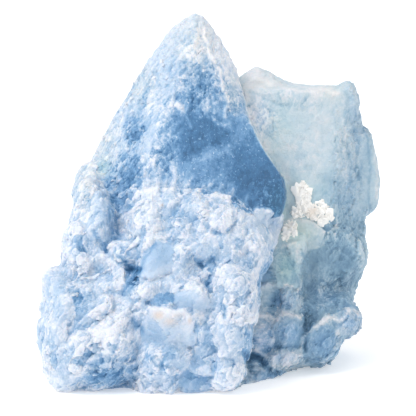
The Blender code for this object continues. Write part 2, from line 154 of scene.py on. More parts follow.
# The crust's overlapping crystals and lumps: how proud each is, its tone, how glassy it is from 0 to 1, and its
# outline. The first one is the ground that the others stand on, and has no tone of its own.
CRUST = (
    # the ground between the crystals
    (1.1, None, 0.0, ((112, 204), (130, 192), (160, 190), (200, 194), (232, 198), (246, 214), (262, 212), (279, 218),
                      (272, 242), (266, 258), (257, 276), (255, 300), (246, 324), (247, 344), (240, 362), (232, 380),
                      (205, 384), (180, 383), (150, 384), (136, 374), (110, 382), (78, 385), (58, 374), (48, 356),
                      (48, 336), (50, 312), (53, 292), (56, 278), (67, 268), (67, 248), (76, 232), (84, 216),
                      (96, 198))),
    # the white band under the window
    (1.7, 0.98, 0.0, ((119, 223), (125, 216), (140, 209), (158, 209), (161, 222), (158, 233), (152, 245), (145, 246),
                      (141, 238), (133, 233), (123, 233))),
    (1.3, 0.94, 0.0, ((124, 201), (139, 193), (157, 190), (159, 203), (157, 211), (140, 211), (132, 207))),
    (1.5, 0.82, 0.0, ((157, 195), (172, 189), (179, 199), (171, 208), (159, 206))),
    (1.1, 0.78, 0.0, ((178, 192), (190, 191), (199, 199), (194, 208), (181, 208))),
    (0.9, 0.82, 0.0, ((196, 196), (207, 199), (206, 206), (198, 206))),
    (1.8, 1.04, 0.0, ((207, 200), (216, 196), (228, 199), (233, 208), (231, 222), (222, 230), (213, 226), (207, 212))),
    (1.4, 0.92, 0.0, ((195, 206), (204, 203), (208, 212), (206, 226), (198, 224), (195, 215))),
    (0.9, 0.93, 0.0, ((228, 200), (240, 203), (247, 212), (243, 219), (235, 213))),
    (1.3, 0.95, 0.0, ((235, 219), (240, 216), (246, 224), (240, 229), (235, 226))),
    (0.5, 0.44, 0.0, ((160, 207), (180, 208), (196, 210), (196, 222), (186, 227), (172, 225), (162, 220))),
    (1.0, 0.86, 0.0, ((176, 226), (184, 222), (190, 228), (195, 241), (188, 245), (180, 238))),
    (1.0, 0.84, 0.0, ((158, 236), (168, 232), (177, 234), (180, 243), (172, 250), (160, 250))),
    (0.7, 0.86, 0.2, ((186, 226), (196, 224), (206, 228), (206, 236), (196, 240), (190, 236))),
    (1.2, 0.86, 0.3, ((195, 236), (203, 233), (213, 236), (215, 246), (205, 250), (196, 246))),
    (1.1, 0.76, 0.2, ((213, 234), (222, 232), (230, 240), (228, 248), (218, 251), (213, 245))),
    (0.9, 0.78, 0.0, ((222, 222), (232, 222), (234, 232), (226, 236), (220, 231))),
    # the plates on the right
    (1.6, 0.92, 0.6, ((246, 224), (257, 211), (268, 212), (279, 219), (279, 228), (272, 244), (263, 247), (253, 235))),
    (2.0, 0.95, 0.0, ((228, 236), (236, 229), (250, 231), (260, 234), (264, 243), (256, 249), (246, 250), (236, 256),
                      (229, 250))),
    (2.2, 0.95, 0.0, ((251, 243), (260, 241), (268, 246), (266, 256), (260, 264), (254, 262), (250, 252))),
    (1.8, 0.84, 0.2, ((222, 253), (232, 249), (240, 255), (239, 266), (228, 268), (222, 262))),
    (2.0, 0.80, 0.0, ((240, 258), (249, 256), (257, 264), (257, 276), (248, 281), (241, 270))),
    # the smooth dome and its neighbours
    (2.4, 0.78, 0.9, ((143, 272), (147, 258), (156, 246), (168, 244), (174, 252), (171, 267), (160, 273), (150, 275))),
    (2.2, 0.92, 0.0, ((171, 254), (180, 246), (192, 248), (193, 262), (191, 276), (182, 279), (173, 270))),
    (2.0, 0.80, 0.4, ((192, 246), (203, 241), (214, 246), (216, 256), (208, 259), (196, 261))),
    (2.2, 0.88, 0.0, ((205, 265), (216, 262), (222, 270), (222, 282), (214, 288), (209, 276))),
    # the arch over a streaky hollow, and the ridge that runs down to the left
    (2.6, 0.97, 0.0, ((141, 288), (150, 278), (165, 273), (182, 276), (196, 280), (203, 288), (203, 296), (190, 291),
                      (176, 290), (160, 290), (150, 296), (140, 300))),
    (2.3, 0.82, 0.8, ((177, 291), (190, 289), (204, 293), (207, 303), (196, 309), (184, 307), (177, 300))),
    (1.4, 0.52, 0.4, ((150, 293), (163, 289), (178, 291), (180, 304), (168, 305), (154, 303))),
    (2.6, 0.94, 0.0, ((141, 289), (148, 296), (142, 306), (128, 318), (114, 328), (100, 336), (97, 330), (112, 312),
                      (126, 299))),
    (2.0, 0.86, 0.0, ((140, 303), (150, 306), (146, 316), (142, 330), (128, 334), (116, 330), (128, 318))),
    # the big white crystals at the front
    (3.0, 1.00, 0.0, ((214, 270), (224, 265), (236, 266), (246, 276), (252, 286), (250, 296), (238, 300), (224, 296),
                      (216, 288))),
    (2.8, 0.93, 0.0, ((196, 310), (206, 298), (218, 291), (230, 297), (232, 312), (224, 322), (210, 324), (199, 319))),
    (2.8, 0.94, 0.0, ((230, 296), (244, 290), (255, 290), (255, 304), (251, 318), (240, 322), (231, 312))),
    (2.4, 0.69, 0.2, ((192, 322), (204, 321), (214, 324), (218, 336), (214, 350), (204, 354), (194, 344))),
    (2.8, 0.79, 0.2, ((217, 324), (230, 319), (244, 321), (249, 334), (247, 348), (236, 356), (222, 352), (216, 338))),
    (2.8, 0.86, 0.0, ((206, 352), (218, 349), (232, 356), (241, 358), (240, 374), (231, 384), (218, 382), (212, 370))),
    # the clear lavender crystal, the lobes under it and the grey lump between them
    (2.6, 0.92, 0.7, ((144, 334), (146, 320), (153, 308), (163, 307), (174, 311), (184, 309), (191, 316), (190, 328),
                      (193, 338), (184, 344), (176, 340), (166, 345), (156, 340), (149, 344))),
    (2.4, 0.92, 0.0, ((186, 306), (196, 306), (202, 316), (200, 332), (194, 344), (188, 338), (190, 322))),
    (2.8, 0.92, 0.0, ((143, 344), (152, 341), (160, 344), (160, 358), (158, 368), (147, 368), (142, 356))),
    (2.8, 0.75, 0.2, ((157, 346), (170, 343), (182, 344), (190, 352), (186, 364), (172, 368), (158, 366))),
    (2.6, 0.86, 0.0, ((137, 370), (148, 363), (160, 366), (162, 378), (154, 390), (146, 389))),
    (2.6, 0.85, 0.0, ((161, 366), (172, 362), (181, 367), (178, 380), (172, 390), (164, 386))),
    (2.2, 0.76, 0.5, ((188, 352), (198, 346), (207, 356), (209, 368), (200, 372), (190, 366))),
    (1.6, 0.58, 0.6, ((179, 372), (188, 364), (202, 366), (211, 376), (208, 385), (196, 389), (184, 387))),
    # the left foot
    (1.8, 0.84, 0.0, ((115, 246), (127, 243), (140, 250), (142, 262), (133, 266), (122, 262), (114, 254))),
    (1.6, 0.90, 0.0, ((92, 262), (104, 254), (116, 262), (124, 274), (122, 288), (108, 296), (96, 290), (90, 276))),
    (1.8, 0.82, 0.3, ((93, 214), (98, 196), (103, 190), (109, 197), (112, 214), (114, 232), (106, 242), (96, 238),
                      (91, 228))),
    (1.2, 0.80, 0.0, ((66, 238), (76, 226), (90, 226), (95, 240), (90, 256), (76, 262), (66, 256))),
    (1.2, 0.80, 0.0, ((72, 262), (84, 258), (94, 262), (96, 280), (86, 290), (76, 284))),
    (1.6, 0.86, 0.5, ((46, 276), (52, 270), (62, 269), (67, 280), (64, 292), (54, 296), (46, 288))),
    (1.4, 0.92, 0.3, ((49, 298), (62, 294), (74, 298), (76, 312), (66, 322), (52, 320), (46, 308))),
    (1.6, 0.66, 0.0, ((74, 292), (90, 290), (98, 300), (92, 316), (80, 322), (72, 310))),
    (2.0, 0.76, 0.0, ((64, 340), (70, 326), (84, 312), (98, 300), (112, 296), (110, 306), (96, 320), (84, 332),
                      (74, 346))),
    (1.3, 0.82, 0.3, ((44, 322), (58, 320), (68, 326), (66, 342), (58, 356), (46, 350), (42, 336))),
    (1.8, 0.92, 0.0, ((78, 336), (94, 328), (108, 330), (106, 344), (92, 350), (80, 350))),
    (1.6, 0.84, 0.0, ((106, 332), (120, 330), (134, 338), (140, 350), (126, 356), (110, 352))),
    (1.4, 0.80, 0.0, ((84, 350), (98, 346), (114, 352), (112, 362), (96, 364), (84, 362))),
    (1.4, 0.85, 0.2, ((49, 352), (62, 346), (74, 356), (74, 372), (73, 389), (60, 384), (50, 370))),
    (1.4, 0.80, 0.0, ((66, 346), (78, 342), (84, 352), (78, 362), (68, 358))),
    # the grey lump on the flank
    (0.5, 0.76, 0.3, ((79, 178), (86, 166), (95, 168), (98, 184), (96, 204), (91, 222), (80, 218), (77, 198))),
)

# The wedge and the slabs of the block behind, which are relief on the body, in the same form.
BLOCKS = (
    (0.4, 0.86, 0.3, ((276, 246), (281, 226), (292, 220), (308, 222), (322, 232), (320, 244), (306, 250), (296, 243),
                      (284, 245))),
    (0.5, 0.76, 0.7, ((288, 246), (296, 243), (298, 262), (293, 257))),
    (0.4, 0.78, 0.3, ((267, 260), (272, 249), (283, 246), (279, 262), (275, 276))),
    (0.4, 0.56, 0.5, ((276, 262), (284, 249), (292, 256), (299, 264), (300, 284), (288, 290), (277, 284))),
    (0.6, 0.60, 0.2, ((256, 290), (266, 286), (273, 289), (273, 313), (264, 317), (255, 311))),
    (0.7, 0.80, 0.0, ((250, 318), (262, 313), (274, 317), (276, 328), (262, 333), (251, 328))),
    (0.9, 0.68, 0.2, ((248, 330), (262, 327), (274, 331), (275, 350), (262, 355), (246, 350))),
)

# The frosted blocks at the foot of the block behind, in the same form.
FROSTED = (
    # the ground between them
    (0.3, None, 0.0, ((248, 288), (256, 285), (273, 286), (286, 283), (301, 287), (304, 314), (314, 324), (328, 315),
                      (348, 308), (356, 314), (357, 326), (342, 335), (333, 351), (319, 364), (304, 362), (282, 368),
                      (262, 381), (234, 387), (238, 366), (244, 348), (246, 318))),
    (1.2, 0.66, 0.3, ((252, 290), (262, 286), (271, 288), (272, 311), (262, 315), (252, 311))),
    (1.5, 0.76, 0.2, ((273, 288), (286, 285), (300, 289), (301, 311), (288, 314), (274, 312))),
    (1.9, 0.80, 0.0, ((248, 318), (256, 313), (264, 316), (272, 314), (273, 322), (266, 330), (256, 327), (249, 330))),
    (2.2, 0.61, 0.3, ((275, 320), (284, 315), (298, 317), (302, 328), (301, 345), (288, 348), (276, 344))),
    (1.6, 0.70, 0.0, ((248, 330), (260, 327), (273, 331), (274, 349), (262, 353), (248, 349))),
    (1.8, 0.72, 0.0, ((266, 352), (275, 347), (284, 351), (282, 362), (272, 366), (265, 360))),
    (2.0, 0.76, 0.0, ((283, 350), (293, 349), (302, 346), (303, 354), (294, 363), (285, 362))),
    (1.4, 0.50, 0.2, ((248, 362), (256, 358), (266, 364), (264, 374), (254, 376), (247, 370))),
    (1.4, 0.66, 0.2, ((234, 370), (242, 366), (252, 374), (254, 381), (244, 386), (235, 386))),
    (2.2, 0.51, 0.3, ((304, 350), (307, 336), (315, 326), (325, 319), (335, 322), (338, 338), (331, 350), (319, 362),
                      (309, 360))),
    (2.5, 0.60, 0.0, ((316, 326), (325, 316), (335, 319), (334, 328), (326, 333), (317, 333))),
    (1.8, 0.66, 0.2, ((336, 317), (347, 310), (355, 315), (356, 325), (348, 331), (338, 333))),
)

# The cream crumbs on the block behind, as outlines.
CREAM = (
    ((296, 190), (302, 183), (311, 189), (313, 199), (306, 204), (297, 207), (299, 197)),
    ((291, 213), (300, 203), (312, 204), (322, 200), (331, 210), (332, 219), (322, 225), (310, 217), (299, 219)),
    ((281, 225), (290, 220), (297, 224), (294, 234), (287, 241), (282, 235)),
)

# Seams, streaks and ridges: half width in millimetres, change of tone, rise in millimetres, and the line's course.
STROKES = (
    # the ridge beside the window and the marks at its top
    (0.28, 0.30, 0.25, ((203, 28), (208, 50), (217, 65), (223, 83), (227, 103), (225, 117))),
    (0.70, 0.22, 0.08, ((197, 161), (207, 157), (228, 150))), (0.60, 0.50, 0.12, ((174, 104), (179, 107), (183, 112))),
    (0.30, 0.22, 0.05, ((213, 118), (220, 126), (228, 124))),
    (0.22, 0.22, 0.06, ((207, 98), (209, 118))), (0.20, 0.20, 0.06, ((212, 96), (214, 114))),
    (0.22, 0.18, 0.06, ((202, 100), (206, 114))), (0.25, 0.20, 0.06, ((189, 100), (186, 116), (191, 128))),
    # dark pits on the flank, which are painted shade, and white splinters
    (0.90, -0.12, -0.25, ((134, 125), (138, 139))), (0.80, -0.10, -0.30, ((135, 160), (131, 176), (123, 188))),
    (0.80, -0.06, -0.25, ((118, 195), (112, 208))), (0.40, -0.16, -0.15, ((160, 160), (158, 170))),
    (0.40, -0.16, -0.15, ((168, 162), (166, 178))), (0.70, 0.20, 0.15, ((150, 104), (152, 116))),
    (0.80, 0.10, 0.15, ((146, 138), (151, 152), (146, 168), (145, 186))), (0.60, 0.16, 0.12, ((122, 118), (118, 134))),
    (0.45, 0.30, 0.20, ((156, 190), (157, 176), (155, 164))), (0.40, 0.30, 0.20, ((174, 190), (176, 176), (173, 166))),
    (0.35, 0.28, 0.15, ((166, 190), (168, 180))), (0.35, 0.28, 0.15, ((186, 192), (189, 182))),
    (0.30, 0.28, 0.15, ((199, 194), (203, 184))), (0.35, 0.30, 0.15, ((215, 196), (222, 186))),
    (0.30, 0.28, 0.15, ((229, 200), (232, 190))), (0.30, 0.28, 0.15, ((244, 208), (247, 196))),
    (0.30, 0.26, 0.15, ((254, 212), (259, 202))), (0.25, 0.24, 0.12, ((266, 212), (270, 202))),
    # dark clefts in the crust, which are painted shade
    (0.80, -0.09, -0.15, ((164, 216), (178, 214), (192, 218))),
    (0.50, -0.18, -0.20, ((112, 198), (114, 225), (121, 245))),
    (0.45, -0.28, -0.35, ((120, 256), (131, 267), (141, 270))),
    (0.65, -0.32, -0.40, ((141, 270), (136, 282), (126, 292))),
    (0.35, -0.24, -0.25, ((142, 270), (146, 254), (156, 243))),
    (0.60, -0.36, -0.40, ((194, 260), (203, 264), (212, 260))), (0.30, -0.28, -0.30, ((209, 276), (205, 287))),
    (0.55, -0.28, -0.25, ((131, 314), (138, 322), (143, 330))), (0.30, -0.25, -0.25, ((244, 332), (249, 333))),
    (0.50, -0.24, -0.20, ((114, 302), (106, 313), (98, 320))), (0.40, -0.26, -0.25, ((223, 304), (225, 314))),
    (0.45, -0.20, -0.20, ((193, 310), (196, 322), (193, 340))),
    (0.40, -0.15, -0.20, ((207, 226), (213, 232), (222, 233))),
    (0.35, -0.15, -0.20, ((232, 204), (234, 220), (232, 230))), (0.40, -0.14, -0.20, ((80, 240), (84, 254))),
    (0.35, -0.08, -0.15, ((140, 343), (143, 362), (137, 372))),
    (0.40, -0.22, -0.20, ((82, 362), (106, 358), (140, 355))), (0.35, -0.18, -0.15, ((84, 350), (110, 353))),
    (0.45, -0.20, -0.20, ((97, 230), (103, 244), (111, 256))),
    (0.50, -0.22, -0.20, ((98, 373), (118, 369), (137, 363))),
    (0.40, -0.20, -0.20, ((150, 352), (158, 362), (170, 364))), (0.35, -0.20, -0.20, ((74, 290), (84, 296), (92, 294))),
    # crease lines and dark cracks on the block behind, and the dark gaps between its frosted blocks, which are painted
    # shade
    (0.20, 0.24, 0.12, ((271, 248), (284, 246), (296, 243))),
    (0.18, 0.12, 0.08, ((296, 243), (298, 262), (301, 288), (302, 314))),
    (0.16, 0.18, 0.08, ((268, 260), (275, 276))), (0.25, 0.30, 0.15, ((306, 293), (308, 304), (312, 307))),
    (0.35, -0.42, -0.4, ((303, 314), (304, 332), (305, 350))), (0.20, -0.30, -0.3, ((273, 288), (273, 315))),
    (0.45, 0.36, 0.15, ((250, 320), (258, 314), (266, 315), (274, 318))),
    (0.40, 0.34, 0.15, ((276, 319), (286, 313), (301, 317))),
    (0.40, 0.18, 0.06, ((256, 291), (266, 287), (273, 289))), (0.40, 0.16, 0.06, ((275, 287), (285, 283), (300, 288))),
    (0.40, 0.38, 0.20, ((316, 327), (328, 316), (340, 320), (350, 309), (359, 314))),
    (0.40, -0.20, -0.2, ((262, 352), (274, 346), (288, 349), (302, 345))),
    (0.50, -0.40, -0.5, ((244, 350), (256, 357), (270, 366))), (0.30, 0.30, 0.15, ((303, 317), (304, 334), (301, 348))),
    (0.35, -0.10, -0.15, ((346, 88), (351, 110), (349, 150), (353, 190), (349, 225))),
    (0.22, -0.20, -0.15, ((363, 112), (368, 140), (371, 165), (370, 190), (371, 212))),
    (0.30, 0.16, 0.12, ((375, 150), (379, 175), (378, 198))),
    (0.25, -0.14, -0.10, ((357, 108), (354, 126), (359, 144), (356, 166), (361, 184))),
    (0.20, 0.16, 0.08, ((343, 112), (347, 130), (344, 152), (348, 176))),
    (0.45, 0.12, 0.10, ((250, 74), (262, 78), (280, 86), (304, 92), (326, 90), (340, 92))),
    (0.30, -0.16, -0.12, ((250, 92), (262, 96), (276, 104), (288, 104))),
    (0.28, -0.16, -0.10, ((250, 104), (258, 116), (262, 130), (272, 140))),
    (0.24, -0.12, -0.10, ((262, 104), (270, 114), (272, 124))),
    (0.22, 0.12, 0.08, ((332, 206), (337, 224), (334, 244), (338, 262))),
    (0.22, 0.14, 0.06, ((318, 282), (320, 296))), (0.18, 0.16, 0.06, ((326, 286), (327, 300))),
    (0.18, 0.14, 0.06, ((336, 280), (335, 292))),
    (0.30, 0.22, 0.12, ((246, 352), (256, 350), (266, 356))), (0.24, 0.24, 0.10, ((240, 364), (252, 362), (262, 368))),
)

# Small crystals: how far apart they are in millimetres, and their least and greatest half size. They grow on the body,
# on the edges of the frosted blocks and on the cream patch. Those embedded in the crust have their thickness last.
CRUMBS = ((2.0, 0.3, 0.6), (1.2, 0.18, 0.36))
FROST_CRUMBS = ((1.1, 0.22, 0.45), (0.6, 0.12, 0.26))
CREAM_CRUMBS = ((0.6, 0.8, 1.3), (0.4, 0.45, 0.8), (0.3, 0.3, 0.5))
EMBEDDED = (3.0, 0.6, 1.4, 0.3)
CRUMB_SHAPES = 12

# Crystal relief of the body's crumbly parts, of its smooth faces and of the pieces on it: size and height in
# millimetres, and the share of the shift in tone.
RUBBLE = ((2.2, 0.48, 0.3), (1.0, 0.34, 0.5), (0.5, 0.14, 0.35))
BARK = ((1.6, 0.14, 0.3), (0.8, 0.10, 0.5), (0.5, 0.05, 0.35))
PLATES = ((3.2, 0.26, 0.45), (1.3, 0.14, 0.30), (0.55, 0.09, 0.20))

# How far aside a block's tone is looked up, in millimetres; the way that blocks are longer; the way that the raised end
# of a flake points, which is also the way that painted light makes flakes and cells paler; and the angles from which an
# edge is sharp.
SHIFT = 2.8
GRAIN_WAY = math.radians(52.0)
OVERLAP = np.array((-0.45, 0.0, 0.9))
SHARP = math.radians(14.0)
CRUST_SHARP = math.radians(8.0)

# The number fields that every piece's finish reads.
FIELDS = ("tone", "rear", "rough", "crest", "wide", "clear", "gloss", "busy", "green", "grey", "stain")

# Where the stone is crackled with small splinters, as U, V, half width, half height and strength. The splinters' cells
# carry their own tones, painted light towards their upper left and painted highlights along their edges.
BUSY = (
    (200, 88, 34, 26, 0.7), (150, 110, 26, 40, 1.0), (125, 170, 24, 40, 1.0), (160, 160, 20, 30, 0.9),
    (196, 50, 30, 20, 0.6), (235, 100, 12, 24, 0.6), (270, 196, 16, 16, 0.9), (200, 190, 30, 10, 0.7),
    (215, 150, 40, 30, 0.25), (262, 118, 18, 22, 0.9), (350, 150, 18, 60, 0.5), (340, 230, 24, 30, 0.7),
    (290, 100, 40, 12, 0.5), (325, 290, 24, 20, 0.9), (285, 265, 20, 24, 0.4), (280, 330, 40, 40, 0.65),
    (335, 335, 30, 26, 0.5), (300, 160, 24, 40, 0.2),
)

# Patches of colour, as U, V, half width, half height and strength: bluer parts of the block behind, grey-green ones,
# greyer parts of the rim, and brown stains.
BLUER = (
    (262, 340, 20, 26, 1.0), (288, 332, 18, 20, 0.9), (260, 120, 12, 22, 1.0), (282, 357, 20, 9, 1.0),
    (325, 342, 22, 20, 0.8), (350, 322, 16, 16, 1.0), (264, 273, 9, 15, 0.6), (286, 302, 16, 14, 0.7),
    (325, 297, 20, 14, 0.4), (358, 120, 12, 40, 0.35), (350, 180, 14, 40, 0.35), (262, 376, 26, 10, 0.8),
)
GREENS = (
    (275, 130, 20, 30, 0.35), (295, 232, 20, 14, 0.9), (285, 268, 12, 18, 0.9),
    (103, 168, 8, 9, 0.8), (278, 205, 12, 20, 0.7), (300, 195, 26, 24, 0.3),
)
GREYS = (
    (196, 34, 34, 34, 1.0), (140, 84, 18, 24, 1.0), (104, 140, 16, 26, 1.0), (85, 180, 12, 24, 1.0),
    (234, 88, 10, 24, 0.8), (332, 92, 14, 8, 0.7), (262, 82, 18, 8, 0.5),
)
STAINS = (
    (160, 313, 6, 5, 1.0), (170, 319, 8, 5, 0.7), (178, 313, 7, 3, 0.4), (190, 318, 2, 3, 0.8),
    (312, 211, 5, 5, 0.8), (318, 219, 3, 3, 0.4), (163, 205, 1.2, 1.2, 0.9),
)

# Limits of the stone's zones, in pixels of the picture. The zone is empty at the first of a pair and full at the
# second.
CRUST_TOP_U, CRUST_TOP_V = 162, 199
FLANK_U, FLANK_TOP_V = 155, 82
LOW_V = 312
BROW_FOOT, BROW_TOP = (124, 108), (60, 70)
SLAB_U, SLAB_V = 316, 222
WINDOW_U, WINDOW_MIDDLE_V, WINDOW_TOP_V, WINDOW_FOOT_V = 166, 150, 80, 196
FOOT_U, FOOT_V = (120, 90), (250, 280)
FRINGE_V = (304, 314)
HORNS_V = (106, 96)
TIP_V = (92, 64)
RIM_V = (212, 190)


# Placing

def across(u):
    """Pixels to the right as view millimetres."""
    return (np.asarray(u, float) - MIDDLE_U) * MM_PER_PIXEL


def up(v):
    """Pixels down as view millimetres up."""
    return (GROUND_V - np.asarray(v, float)) * MM_PER_PIXEL


def traced(line):
    """A line or outline in pixels, as the x and h of its corners."""
    u, v = np.array(line, float).T
    return across(u), up(v)


def band(levels, h):
    """0 at the first of two levels in pixels, 1 at the second, eased between them."""
    return step(up(levels[0]), up(levels[1]), h)


def to_view(metres):
    """Shared-frame metres as view millimetres: x, then the depth and the height of the tilted view."""
    x, y, z = (metres / MM).T
    y = y + MIDDLE_D
    return np.stack([x, y * math.cos(VIEW_TILT) - z * math.sin(VIEW_TILT),
                     y * math.sin(VIEW_TILT) + z * math.cos(VIEW_TILT)], axis=1)


def to_frame(view):
    """View millimetres as shared-frame metres, the other way round."""
    x, d, h = view.T
    y = d * math.cos(VIEW_TILT) + h * math.sin(VIEW_TILT) - MIDDLE_D
    return np.stack([x, y, h * math.cos(VIEW_TILT) - d * math.sin(VIEW_TILT)], axis=1) * MM


# Number patterns

def scatter(cells, salt):
    """Three fixed numbers from 0 to 1 for each whole-numbered cell: its coordinates are mixed, and the mix is cut in
    three."""
    mix = (cells[:, 0] * 73856093) ^ (cells[:, 1] * 19349663) ^ (cells[:, 2] * 83492791) ^ (salt * 668265263)
    mix = ((mix ^ (mix >> 15)) * 2246822519) & 0xFFFFFFFFFFFF
    mix = ((mix ^ (mix >> 21)) * 3266489917) & 0xFFFFFFFFFFFF
    mix = mix ^ (mix >> 24)
    return np.stack([mix & 0xFFFF, (mix >> 16) & 0xFFFF, (mix >> 32) & 0xFFFF], axis=1) / 65535.0


def mottle(points, size, salt):
    """Smooth noise from 0 to 1: random values at the corners of cells of this size, blended by eased distances."""
    at = points / size
    cells = np.floor(at).astype(np.int64)
    part = at - cells
    ease = part * part * (3.0 - 2.0 * part)
    total = np.zeros(len(points))
    for corner in itertools.product((0, 1), repeat=3):
        share = np.where(np.array(corner) == 1, ease, 1.0 - ease).prod(axis=1)
        total += share * scatter(cells + corner, salt)[:, 0]
    return total


def cloud(points, size, salt, octaves=4):
    """Noise of several sizes from 0 to 1: each octave has half the size and half the share of the one before."""
    total = sum(mottle(points, size * 0.5 ** k, salt + 17 * k) * 0.5 ** k for k in range(octaves))
    return total / sum(0.5 ** k for k in range(octaves))


def waver(points, size, salt, octaves=4):
    """The same noise about 0, from -0.5 to 0.5."""
    return cloud(points, size, salt, octaves) - 0.5


def facets(points, size, salt):
    """Crystal relief: each cell holds a block with three random directions, and the height is the greatest, over the
    blocks nearby, of one minus the block's largest distance along its directions. Also how far towards OVERLAP a place
    is on the tallest block, and that block's own three numbers, from 0 to 1."""
    cells = np.floor(points / size).astype(np.int64)
    best = np.full(len(points), -1.0)
    lean = np.zeros(len(points))
    own = np.zeros((len(points), 3))
    for offset in itertools.product((-1, 0, 1), repeat=3):
        near = cells + offset
        place = scatter(near, salt)
        away = points / size - near - place
        reach = np.zeros(len(points))
        for k in range(3):
            way = scatter(near, salt + 1 + k) - 0.5
            way /= np.linalg.norm(way, axis=1)[:, None] + 1e-6
            reach = np.maximum(reach, np.abs((away * way).sum(axis=1)))
        won = 1.0 - reach > best
        best = np.where(won, 1.0 - reach, best)
        lean[won] = away[won] @ OVERLAP
        own[won] = (place[won] * 7.0) % 1.0
    return best, lean, own


def crystals(points, sizes, salt, flat):
    """Crystal relief of several sizes, each as (size, relief, share of the shift): the summed height in millimetres,
    and the summed numbers of the blocks from -0.5 to 0.5, which shift and shade the tone from block to block; the third
    also grows towards each block's end at OVERLAP, which paints light on the raised end of each flake. The blocks are
    longer along GRAIN_WAY. By the share flat, each is a flake instead: level, at its own height, and tilted so that its
    end towards OVERLAP lies over the next."""
    height, shift = np.zeros(len(points)), np.zeros((len(points), 3))
    x, d, h = points.T
    points = np.stack([(x * math.cos(GRAIN_WAY) + h * math.sin(GRAIN_WAY)) * 0.7, d,
                       (h * math.cos(GRAIN_WAY) - x * math.sin(GRAIN_WAY)) * 1.15], axis=1)
    for k, (size, relief, share) in enumerate(sizes):
        best, lean, own = facets(points + 40.0 * k, size, salt + 12 * k)
        flake = (own[:, 0] - 0.5) * 0.8 + lean * 0.7
        height += relief * ((best - 0.6) * (1.0 - flat) + flake * flat)
        shift += share * (own - 0.5)
        # Painted light: the third number grows towards the block's end at OVERLAP, so the raised end of a flake is
        # paler.
        shift[:, 2] += share * lean
    return height, shift


def step(low, high, value):
    """An eased rise from 0 at low to 1 at high, or a fall where low is the greater."""
    part = np.clip((value - low) / (high - low), 0.0, 1.0)
    return part * part * (3.0 - 2.0 * part)


def mixed(first, second, share):
    """The first value, changed to the second by this share."""
    return first * (1.0 - share) + second * share


# Meshes

def read(mesh):
    """A mesh's corners and vertex normals as arrays, in view millimetres and view directions."""
    points = np.empty(len(mesh.vertices) * 3)
    mesh.vertices.foreach_get("co", points)
    normals = np.empty(len(mesh.vertices) * 3)
    mesh.vertex_normals.foreach_get("vector", normals)
    normals = normals.reshape(-1, 3)
    ahead = to_view(np.zeros((1, 3)))
    return to_view(points.reshape(-1, 3)), to_view(normals * MM) - ahead


def write(mesh, view):
    """Puts the corners where view says, but none under the surface that the stone rests on."""
    points = to_frame(view)
    points[:, 2] = np.maximum(points[:, 2], 0.0)
    mesh.vertices.foreach_set("co", points.ravel())
    mesh.update()


def mesh_of(name, points, faces):
    """A mesh from view points and arrays of faces."""
    mesh = bpy.data.meshes.new(name)
    mesh.from_pydata(to_frame(points).tolist(), [], [face for part in faces for face in part.tolist()])
    return mesh


def new_object(name, data):
    made = bpy.data.objects.new(name, data)
    bpy.context.scene.collection.objects.link(made)
    return made


def settled(obj):
    """The object's mesh with its modifiers worked in."""
    bpy.context.view_layer.update()
    mesh = bpy.data.meshes.new_from_object(obj.evaluated_get(bpy.context.evaluated_depsgraph_get()))
    obj.modifiers.clear()
    old, obj.data = obj.data, mesh
    bpy.data.meshes.remove(old)
    return mesh


def fuse(obj, grain):
    """The object's mesh made one closed skin of voxels of this many millimetres."""
    remesh = obj.modifiers.new("fuse", "REMESH")
    remesh.mode = "VOXEL"
    remesh.voxel_size = grain * MM
    return settled(obj)


def thin(obj, triangles, keep):
    """Collapses the mesh to this many triangles, sparing the corners whose keep value is near 1."""
    mesh = obj.data
    have = sum(len(p.vertices) - 2 for p in mesh.polygons)
    if have <= triangles:
        return mesh
    group = obj.vertex_groups.new(name="keep")
    most = 8
    levels = np.clip((keep * most).round(), 0, most).astype(int)
    for level in range(most + 1):
        group.add(np.flatnonzero(levels == level).tolist(), 1.0 - level / most, "REPLACE")
    decimate = obj.modifiers.new("thin", "DECIMATE")
    decimate.ratio = triangles / have
    decimate.vertex_group = "keep"
    mesh = settled(obj)
    obj.vertex_groups.clear()
    return mesh


def averaged(mesh, view, rounds):
    """The corners moved to their neighbours' average that many times."""
    ends = np.empty(len(mesh.edges) * 2, np.int32)
    mesh.edges.foreach_get("vertices", ends)
    a, b = ends.reshape(-1, 2).T
    count = np.maximum(np.bincount(a, minlength=len(view)) + np.bincount(b, minlength=len(view)), 1)
    smooth = view.copy()
    for _ in range(rounds):
        for k in range(3):
            total = np.bincount(a, smooth[b, k], len(view)) + np.bincount(b, smooth[a, k], len(view))
            smooth[:, k] = total / count
    return smooth


def proudness(mesh, view, normals, rounds):
    """How far each corner stands out of the averaged surface, in millimetres."""
    return ((view - averaged(mesh, view, rounds)) * normals).sum(axis=1)


def toward_eye(normals):
    """How far a surface faces the eye, from 0 to 1."""
    return np.clip(-normals[:, 1], 0.0, 1.0)


def remember(mesh, **fields):
    """Stores number fields on the mesh's corners for its material to read."""
    for name, values in fields.items():
        layer = mesh.attributes.new(name, "FLOAT", "POINT")
        layer.data.foreach_set("value", np.ascontiguousarray(values, np.float32))


def remember_shift(mesh, shift):
    """Stores the numbers of the crystal blocks until the mesh is dressed."""
    remember(mesh, shift_x=shift[:, 0], shift_h=shift[:, 1], shade=shift[:, 2])


def recalled(mesh, name):
    """A stored number field."""
    values = np.empty(len(mesh.vertices), np.float32)
    mesh.attributes[name].data.foreach_get("value", values)
    return values.astype(float)


# What the eye sees of the stone

def front_edge(h):
    """Where the front crystal and its crust end on the right, at each height."""
    px, ph = traced(FRONT_EDGE)
    return np.interp(h, ph, px)


